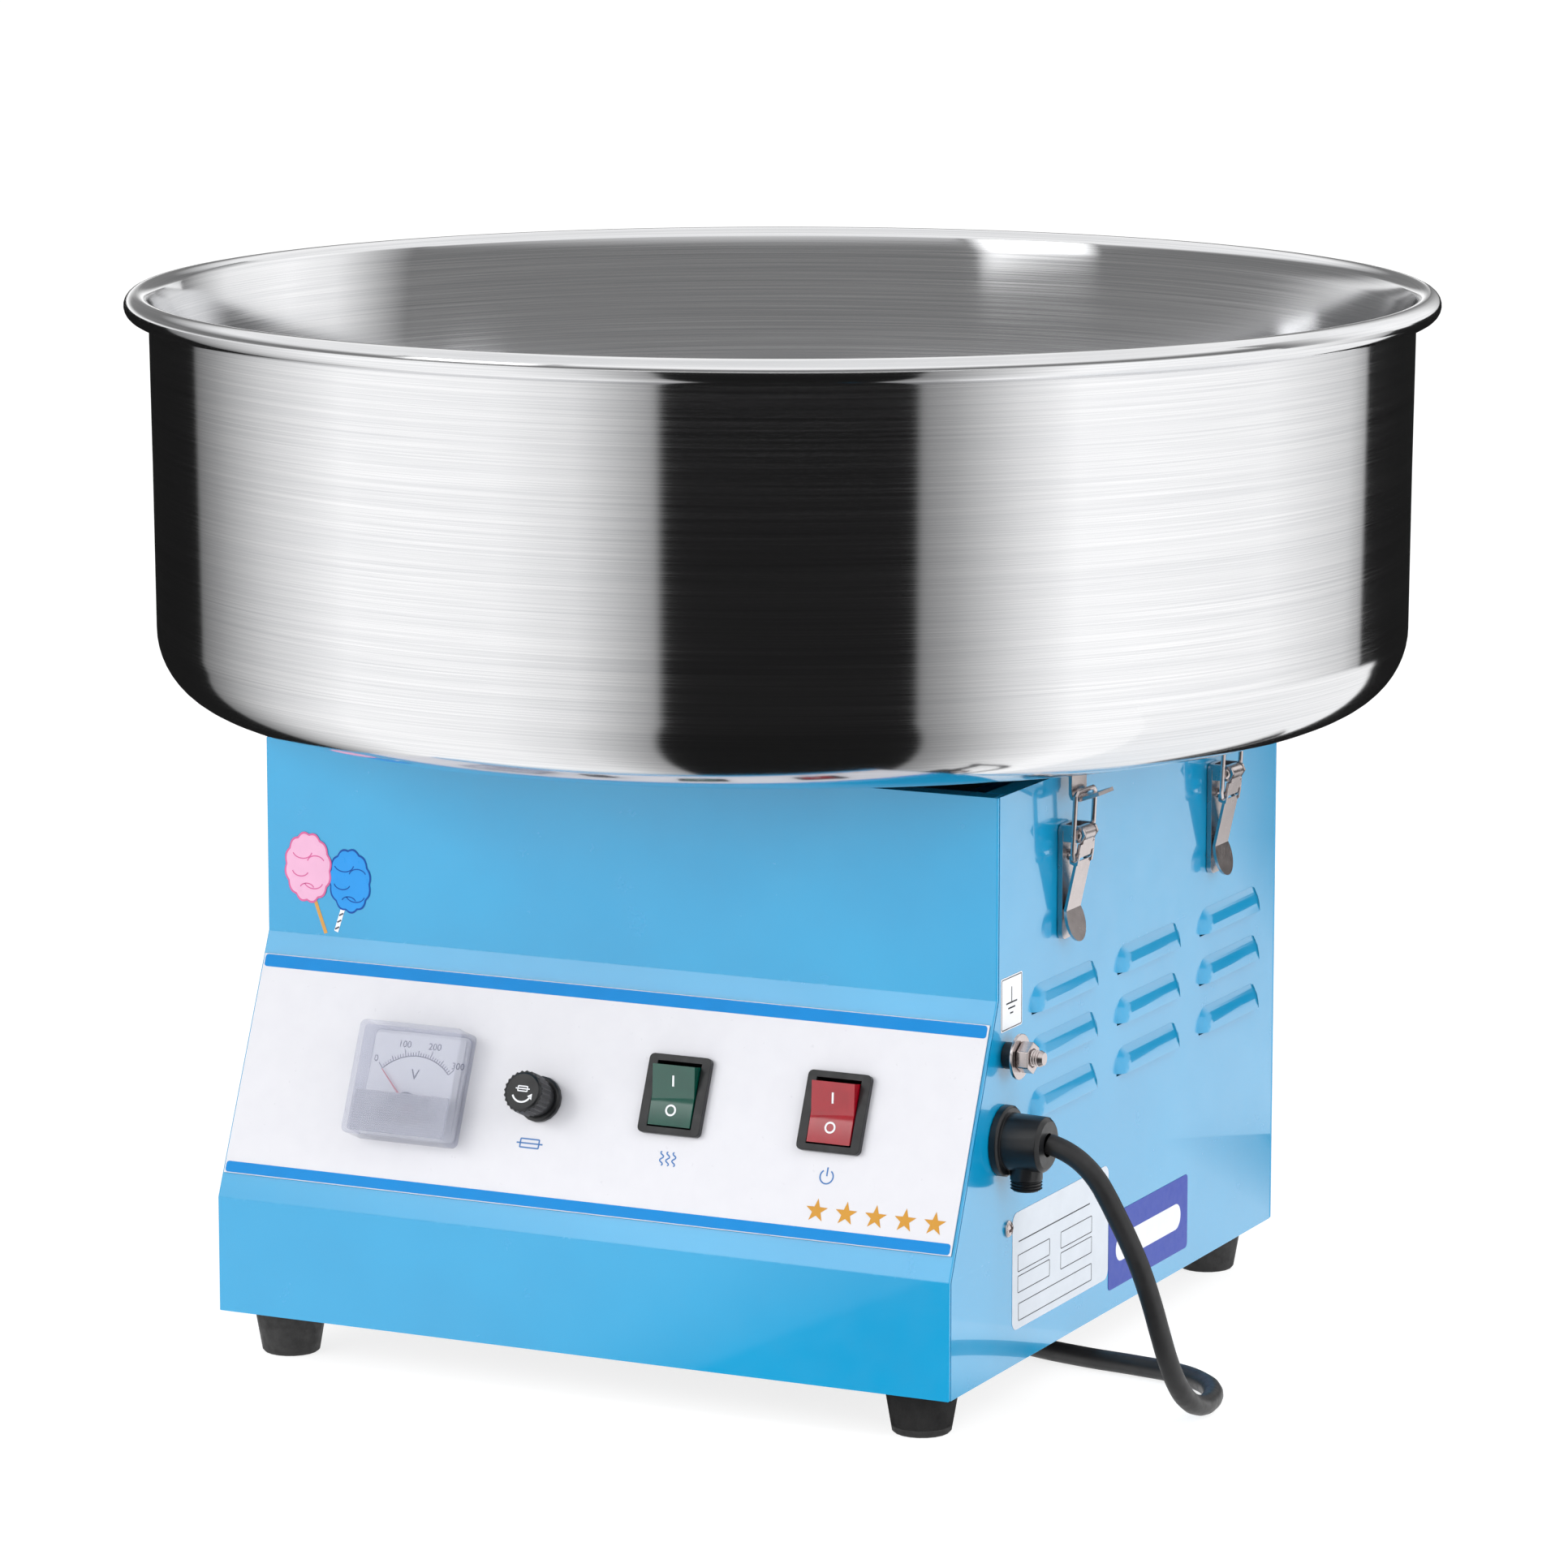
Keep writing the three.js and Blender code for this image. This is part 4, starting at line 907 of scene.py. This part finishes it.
def draw_dial(bm, low, high):
    """A quarter-circle volt scale from 0 to 300, centred on the needle's pivot."""
    radius = 20.5
    zero, full = 135, 45
    scale = arc_points(radius, zero, full, 24, 0, NEEDLE_PIVOT_Y)
    add_stroke(bm, scale, 0.34, low, high)
    for step in range(31):
        a = math.radians(zero + (full - zero) * step / 30)
        reach = 3.0 if step % 10 == 0 else 2.2 if step % 5 == 0 else 1.4
        inner = (radius * math.cos(a), NEEDLE_PIVOT_Y + radius * math.sin(a))
        outer = ((radius + reach) * math.cos(a), NEEDLE_PIVOT_Y + (radius + reach) * math.sin(a))
        add_stroke(bm, [inner, outer], 0.3, low, high)
    for value in (0, 100, 200, 300):
        a = math.radians(zero + (full - zero) * value / 300)
        reach = radius + 5
        add_text(bm, str(value), 3.8, reach * math.cos(a),
                 NEEDLE_PIVOT_Y + reach * math.sin(a), low, high)
    add_text(bm, "V", 6, 0, NEEDLE_PIVOT_Y + 13, low, high)


printed("dial_scale", draw_dial, METER, "grey", DIAL_TOP + 0.02, DIAL_TOP + 0.1,
        slot="white_plastic")


GRID_PITCH = 0.95


def frosted_material():
    """Clear plastic moulded with a fine grid of pyramids, which half hides what it covers; the
    grid's pits carry painted shade.
    """
    material, n, shader = new_material("frosted_grid")
    place = n.place()
    x, y, z = n.split(place)
    up = n.math("ADD", n.math("MULTIPLY", y, slope_up.y), n.math("MULTIPLY", z, slope_up.z))
    pitch = 2 * math.pi / (GRID_PITCH * MM)
    grid = n.math("ADD", n.math("SINE", n.math("MULTIPLY", x, pitch)),
                  n.math("SINE", n.math("MULTIPLY", up, pitch)))
    cloud = n.noise(place, 160, 2)
    tone = n.mix(cloud, rgb(226, 227, 232), rgb(236, 237, 241))
    # painted shade: the grid's low points are coloured darker
    pit_shade = n.spread(grid, -1.6, 0.2, 1, 0)
    n.feed(shader.inputs["Base Color"], n.mix(pit_shade, tone, rgb(168, 170, 180)))
    n.feed(shader.inputs["Roughness"], n.spread(n.noise(place, 700, 3), 0.3, 0.7, 0.1, 0.25))
    n.feed(shader.inputs["Normal"], n.bump(grid, 0.9, 0.25 * MM))
    shader.inputs["Alpha"].default_value = 0.5
    return material


def make_meter():
    band_height = 16
    bottom = -COVER_INSIDE / 2 + 0.4
    bm = bmesh.new()
    add_slab(bm, rounded(COVER_INSIDE - 1, band_height, 0.6, 0, bottom + band_height / 2),
             10.6, 11.7, 0.2)
    piece("meter_frosted_window", bm, METER, "machine", "clear_plastic", frosted_material())

    bm = bmesh.new()
    add_slab(bm, rounded(13, 2.2, 0.8, 0, NEEDLE_PIVOT_Y - 4.5), DIAL_TOP + 0.1,
             DIAL_TOP + 1.4, 0.2)
    for side in (-5.4, 5.4):
        head = [(0, 1.1), (1.1, 0.9), (1.3, 0.3), (1.3, 0), (0, 0)]
        add_lathe(bm, head, 20, at(side, NEEDLE_PIVOT_Y - 4.5, DIAL_TOP + 1.4))
    piece("meter_bridge", bm, METER, "machine", "brass")

    bm = bmesh.new()
    spiral = []
    for k in range(61):
        a = math.radians(k * 15)
        reach = 2.5 + 1.9 * k / 60
        spiral.append((reach * math.cos(a), NEEDLE_PIVOT_Y + reach * math.sin(a)))
    add_stroke(bm, spiral, 0.22, DIAL_TOP + 0.3, DIAL_TOP + 0.7)
    piece("meter_hairspring", bm, METER, "machine", "brass")

    bm = bmesh.new()
    for side in (-1, 1):
        add_slab(bm, rounded(6.2, 4.4, 0.5, side * 9.6, NEEDLE_PIVOT_Y - 3.2),
                 DIAL_TOP + 0.1, DIAL_TOP + 1.6, 0.2)
    piece("meter_magnet_shoes", bm, METER, "machine", "nickel")

    bm = bmesh.new()
    hood = arc_points(4.6, 0, 180, 20, 0, NEEDLE_PIVOT_Y + 1)
    add_slab(bm, hood, DIAL_TOP + 3.1, DIAL_TOP + 4.3, 0.2)
    for side in (-7.4, 7.4):
        add_slab(bm, rounded(2, 3.6, 0.6, side, NEEDLE_PIVOT_Y + 2.4), DIAL_TOP + 0.1,
                 DIAL_TOP + 2.6, 0.2)
    piece("meter_pivot_hood", bm, METER, "machine", "black_plastic", inks["grey"])


make_meter()


# ---- fuse cap and rockers
FUSE_X, FUSE_Y, FUSE_CAP_TOP = -24, 51.8, 17.6
ROCKER_Y = 58.8
HEAT_X, POWER_X = 33, 100
ROCKER_PIVOT_Z = 1.8
ROCKER_TILT = 11
ROCKER_MARK_Y = 5.6
ROCKER_MARK_Z = 3.55
ROCKER_MARK_LEAN = 8.8


def draw_fuse_arrow(bm, low, high):
    add_stroke(bm, arc_points(4.2, 205, 335, 20), 0.7, low, high)
    tip = math.radians(345)
    base = math.radians(325)
    add_slab(bm, [
        (5.4 * math.cos(base), 5.4 * math.sin(base)),
        (4.4 * math.cos(tip + 0.12), 4.4 * math.sin(tip + 0.12)),
        (3 * math.cos(base), 3 * math.sin(base)),
    ], low, high)
    add_stroke(bm, [(-3, 1), (3, 1)], 0.45, low, high)
    link_box = rounded(4, 1.9, 0.2, 0, 1)
    add_stroke(bm, link_box + link_box[:1], 0.45, low, high)


printed("fuse_cap_arrow", draw_fuse_arrow, SLOPE @ at(FUSE_X, FUSE_Y), "white",
        FUSE_CAP_TOP - 0.02, FUSE_CAP_TOP + 0.06, "fuse_cap", "black_plastic")


def draw_on(bm, low, high):
    add_stroke(bm, [(0, -2.1), (0, 2.1)], 0.75, low, high)


def draw_off(bm, low, high):
    ring = arc_points(1.9, 0, 360, 28)
    add_stroke(bm, ring, 0.7, low, high)


for label, x in (("heat", HEAT_X), ("power", POWER_X)):
    rocker = SLOPE @ at(x, ROCKER_Y, ROCKER_PIVOT_Z) @ turned_about("X", ROCKER_TILT)
    for mark, draw, side in (("on", draw_on, 1), ("off", draw_off, -1)):
        lean = turned_about("X", side * ROCKER_MARK_LEAN)
        spot = at(0, side * ROCKER_MARK_Y, ROCKER_MARK_Z) @ lean
        slot = "green_rocker" if label == "heat" else "red_rocker"
        printed(f"{label}_{mark}_mark", draw, rocker @ spot, "white", 0.0, 0.14,
                f"{label}_rocker", slot)


# ---- screws and rivets
def add_pan_head(bm, radius, height, matrix):
    """A domed screw head with a cross recess."""
    rings, steps = 16, 64
    arm = radius * 0.16
    reach = radius * 0.62
    grid = []
    for i in range(rings + 1):
        r = radius * i / rings
        row = []
        for k in range(steps):
            a = 2 * math.pi * k / steps
            u, v = r * math.cos(a), r * math.sin(a)
            z = height * math.sqrt(max(1 - (0.94 * r / radius) ** 2, 0))
            inside = min(abs(u), abs(v)) < arm and max(abs(u), abs(v)) < reach
            row.append((u, v, z - (0.55 * height if inside else 0)))
        grid.append(row)
    top = bm.verts.new(matrix @ Vector((0, 0, height * 0.45)))
    loops = [[bm.verts.new(matrix @ Vector(p)) for p in row] for row in grid[1:]]
    foot = [bm.verts.new(matrix @ Vector((p[0], p[1], -0.2))) for p in grid[-1]]
    for k in range(steps):
        j = (k + 1) % steps
        bm.faces.new((top, loops[0][k], loops[0][j]))
        for inner, outer in zip(loops, loops[1:]):
            bm.faces.new((inner[k], outer[k], outer[j], inner[j]))
        bm.faces.new((loops[-1][k], foot[k], foot[j], loops[-1][j]))
    bm.faces.new(list(reversed(foot)))


def screws(name, place, spots, radius, height, body="machine", slot="nickel"):
    bm = bmesh.new()
    for i, (x, y) in enumerate(spots):
        add_pan_head(bm, radius, height, at(x, y) @ turned_about("Z", 17 + 41 * i))
    return piece(name, bm, place, body, slot, smooth_angle=25)


def add_rivet(bm, radius, height, matrix):
    profile = [(0, height), (radius * 0.5, height * 0.86), (radius * 0.85, height * 0.5),
               (radius, 0.05), (radius, -0.1), (0, -0.1)]
    add_lathe(bm, profile, 24, matrix)


PANEL_SCREW = (3.2, 1.9)  # radius and height of a panel screw's head
SIDE_SCREW = (-129.1, 73.2)
screws("side_screws_right", RIGHT_WALL, [SIDE_SCREW], *PANEL_SCREW)
screws("side_screws_left", LEFT_WALL, [(-SIDE_SCREW[0], SIDE_SCREW[1])], *PANEL_SCREW)
rear_spots = [(x, z) for x in (-148, 0, 148) for z in (30, 226)]
screws("rear_screws", BACK, rear_spots, *PANEL_SCREW)


# ---- earth terminal
STUD_SPOT = (-132, 140.8)
STUD_RADIUS = 3.2
STUD_ROOT = 2.75
STUD_TIP = 2.4
STUD_HEAD = (5.2, 4)  # radius and height of the head inside the wall
THREAD_FROM = 4.5
THREAD_PITCH = 1


def make_earth_terminal():
    """The threaded stud with its head inside the wall."""
    axis = RIGHT_WALL @ at(*STUD_SPOT)
    inner = stud_low.x / MM - WALL_X
    outer = stud_high.x / MM - WALL_X
    head_radius, head_height = STUD_HEAD
    profile = [(0, inner), (head_radius, inner), (head_radius, inner + head_height),
               (STUD_RADIUS, inner + head_height), (STUD_RADIUS, THREAD_FROM)]
    h = THREAD_FROM
    while h + THREAD_PITCH < outer - 0.6:
        profile += [(STUD_ROOT, h + THREAD_PITCH / 2), (STUD_RADIUS, h + THREAD_PITCH)]
        h += THREAD_PITCH
    profile += [(STUD_TIP, outer), (0, outer)]
    bm = bmesh.new()
    add_lathe(bm, list(reversed(profile)), 40)
    stud = piece("threaded_stud", bm, axis, "machine", "nickel", smooth_angle=20)
    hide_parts("earth_stud")


make_earth_terminal()


def make_plug_threads():
    """Thread ridges round the plug that clamps the cord in its gland."""
    bm = bmesh.new()
    for k in range(3):
        h = -1.2 * k
        ridge = [(4.9, h), (6.1, h - 0.5), (4.9, h - 1)]
        add_lathe(bm, ridge, 36)
    top = at((plug_low.x + plug_high.x) / 2 / MM, (plug_low.y + plug_high.y) / 2 / MM,
             plug_low.z / MM + 3.7)
    piece("gland_plug_threads", bm, UPRIGHT @ top, "machine", "black_plastic", smooth_angle=20)


make_plug_threads()


# ---- stickers and plates
DECAL = 0.18
EARTH_SIGN = (-126.95, 160.25)
DATA_PLATE = (-78.6, 54.85)
SIDE_LABEL = (8.25, 41.6)


def sticker(name, place, outline, material_name, low=0.02, high=DECAL):
    bm = bmesh.new()
    add_slab(bm, outline, low, high, 0.05)
    return piece(name, bm, place, "machine", "printed_sheet", inks[material_name])


def draw_earth_sign(bm, low, high):
    """A thin frame with the plain sign for an earthing point."""
    cy, cz = EARTH_SIGN
    frame_line = rounded(18.1, 19.3, 0.6, cy, cz)
    add_stroke(bm, frame_line + frame_line[:1], 0.35, low, high)
    add_stroke(bm, [(cy, cz + 6), (cy, cz)], 0.6, low, high)
    for drop, half in ((0, 5), (-2, 3.2), (-4, 1.4)):
        add_stroke(bm, [(cy - half, cz + drop), (cy + half, cz + drop)], 0.6, low, high)


sticker("earth_sticker", RIGHT_WALL, rounded(19.5, 20.5, 0.8, *EARTH_SIGN), "white")
printed("earth_sticker_print", draw_earth_sign, RIGHT_WALL, "black", DECAL, DECAL + 0.05)


def draw_plate_lines(bm, low, high):
    """Ruled, empty boxes where the real plate has its data."""
    boxes = [
        (-104.7, 57.5, 30, 6.4), (-104.7, 49.3, 30, 6.4),
        (-64, 57.5, 30, 6.4), (-64, 49.3, 30, 6.4),
        (-84, 38.4, 70, 6.6),
    ]
    for y, z, width, height in boxes:
        ruled = rounded(width, height, 0.5, y, z, 3)
        add_stroke(bm, ruled + ruled[:1], 0.32, low, high)
    add_stroke(bm, [(-119, 66), (-51, 66)], 0.45, low, high)


def draw_label_panel(bm, low, high):
    add_slab(bm, rounded(66, 10.5, 5.2, 8.2, 41.5), low, high)


sticker("data_plate", RIGHT_WALL, rounded(92.2, 45.7, 4, *DATA_PLATE), "plate")
printed("data_plate_print", draw_plate_lines, RIGHT_WALL, "black", DECAL, DECAL + 0.05)
sticker("side_label", RIGHT_WALL, rounded(80.5, 30.2, 2, *SIDE_LABEL), "indigo")
printed("side_label_panel", draw_label_panel, RIGHT_WALL, "white", DECAL, DECAL + 0.05)


# ---- candy puffs on the front
def puff_outline(cx, cy, width, height, lobes, shift):
    points = []
    steps = lobes * 10
    for i in range(steps):
        a = 2 * math.pi * i / steps
        swell = 1 + 0.075 * abs(math.sin(a * lobes / 2 + shift)) - 0.035
        points.append((cx + width / 2 * swell * math.cos(a), cy + height / 2 * swell * math.sin(a)))
    return points


def curl(cx, cy, radius, start, end, squash=0.7):
    return [(x, cy + (y - cy) * squash) for x, y in arc_points(radius, start, end, 12, cx, cy)]


def puff_part(name, bm, ink_name):
    piece(f"puff_{name}", bm, UPPER, "machine", "printed_sheet", inks[ink_name])


def make_puffs():
    stick_low, stick_high = 0.02, 0.12
    bm = bmesh.new()
    add_stroke(bm, [(-136.2, 178), (-131, 163.8)], 1.5, stick_low, stick_high)
    puff_part("stick_tan", bm, "stick")
    bm = bmesh.new()
    add_stroke(bm, [(-122.6, 176), (-126.4, 164.9)], 1.8, stick_low, stick_high)
    puff_part("stick_white", bm, "white")
    bm = bmesh.new()
    for k in range(4):
        t = 0.12 + 0.25 * k
        x, y = -122.6 - 3.8 * t, 176 - 11.1 * t
        add_stroke(bm, [(x - 0.9, y - 0.5), (x + 0.9, y + 0.5)], 0.6, stick_high, stick_high + 0.04)
    puff_part("stick_bands", bm, "grey")
    for name, cx, cy, width, height, lobes, low in (
        ("blue", -120, 185.6, 18.6, 25, 11, 0.1),
        ("pink", -138.6, 189.5, 20.6, 27.5, 12, 0.22),
    ):
        outline = puff_outline(cx, cy, width, height, lobes, 0.4)
        rim = bmesh.new()
        add_slab(rim, outline, low, low + 0.08)
        puff_part(f"{name}_edge", rim, f"{name}_line")
        fill = bmesh.new()
        inner = [(cx + (x - cx) * 0.93, cy + (y - cy) * 0.94) for x, y in outline]
        add_slab(fill, inner, low + 0.05, low + 0.14)
        puff_part(f"{name}_fill", fill, name)
        lines = bmesh.new()
        for dx, dy, radius, start, end in (
            (-2.5, 6.5, 4.4, 200, 350), (3.6, 2.2, 3.8, 20, 170), (-3.4, -1.2, 3.6, 190, 340),
            (2.4, -5.4, 4.2, 200, 345), (-0.5, -8.6, 3.2, 20, 160),
        ):
            add_stroke(lines, curl(cx + dx, cy + dy, radius, start, end), 0.45,
                       low + 0.14, low + 0.18)
        puff_part(f"{name}_curls", lines, f"{name}_line")


make_puffs()


# ---- latches
LATCH_SPOTS = {
    "front_right": (RIGHT_WALL, -78),
    "rear_right": (RIGHT_WALL, 71),
    "front_left": (LEFT_WALL, 78),
    "rear_left": (LEFT_WALL, -71),
}
LATCH_PIN = (217.5, 8.0)  # height and distance out from the wall
LATCH_PLATE = 2.3  # the base plate's outer face
RIVET_HEIGHTS = (181.5, 208.5)
PIN_HALF = 6.95


def make_latch_details():
    """Rivets that hold each latch to the wall, and the upset heads of its lever pin."""
    pin_z, pin_out = LATCH_PIN
    for corner, (wall, y) in LATCH_SPOTS.items():
        bm = bmesh.new()
        for z in RIVET_HEIGHTS:
            add_rivet(bm, 2.3, 1.1, at(y, z, LATCH_PLATE))
        piece(f"latch_rivets_{corner}", bm, wall, "machine", "nickel")
        bm = bmesh.new()
        for side in (-1, 1):
            lay = at(y + side * PIN_HALF, pin_z, pin_out) @ turned_about("Y", side * 90)
            add_rivet(bm, 2.1, 0.8, lay)
        piece(f"latch_pin_heads_{corner}", bm, wall, f"lever_{corner}", "nickel")


make_latch_details()


# ---- spinner head
RIBBON_RADIUS = 50
RIBBON_WAVE = 1.7
RIBBON_FOLDS = 90
LID_TOP = 324.75
LID_SCREW_CIRCLE = 42


def make_band():
    """The head's perforated band, which the melted sugar flies out through."""
    radius = band_high.x / MM - 0.1
    low, high = band_low.z / MM, band_high.z / MM
    columns, rows = 144, 15
    bm = bmesh.new()
    grid = []
    for i in range(columns):
        a = 2 * math.pi * i / columns
        x, y = radius * math.cos(a), radius * math.sin(a)
        grid.append([bm.verts.new((x, y, low + (high - low) * k / rows)) for k in range(rows + 1)])
    for i in range(columns):
        here, beyond = grid[i], grid[(i + 1) % columns]
        for k in range(rows):
            hole = i % 2 == k // 2 % 2 and k % 2 == 1
            if not hole:
                bm.faces.new((here[k], beyond[k], beyond[k + 1], here[k + 1]))
    band = piece("perforated_band", bm, UPRIGHT, "spinner", "aluminium")
    thick = band.modifiers.new("sheet", "SOLIDIFY")
    thick.thickness = 1.1 * MM
    thick.offset = -1
    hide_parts("spinner_band")


def make_heater():
    """A corrugated heating ribbon that stands on its edge inside the band."""
    low, high = 280, 312
    steps = RIBBON_FOLDS * 4
    bm = bmesh.new()
    loops = []
    for i in range(steps):
        a = 2 * math.pi * i / steps
        reach = RIBBON_RADIUS + RIBBON_WAVE * math.sin(a * RIBBON_FOLDS)
        x, y = reach * math.cos(a), reach * math.sin(a)
        loops.append((bm.verts.new((x, y, low)), bm.verts.new((x, y, high))))
    for here, beyond in zip(loops, loops[1:] + loops[:1]):
        bm.faces.new((here[0], beyond[0], beyond[1], here[1]))
    ribbon = piece("heating_ribbon", bm, UPRIGHT, "spinner", "dark_steel")
    thick = ribbon.modifiers.new("foil", "SOLIDIFY")
    thick.thickness = 0.3 * MM
    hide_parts("heating_ring")


make_band()
make_heater()
lid_spots = []
for degrees in (90, 210, 330):
    turn = math.radians(degrees)
    lid_spots.append((LID_SCREW_CIRCLE * math.cos(turn), LID_SCREW_CIRCLE * math.sin(turn)))
screws("lid_screws", face((0, 0, LID_TOP), X, Y, Z), lid_spots, 3.4, 2.0, "spinner")
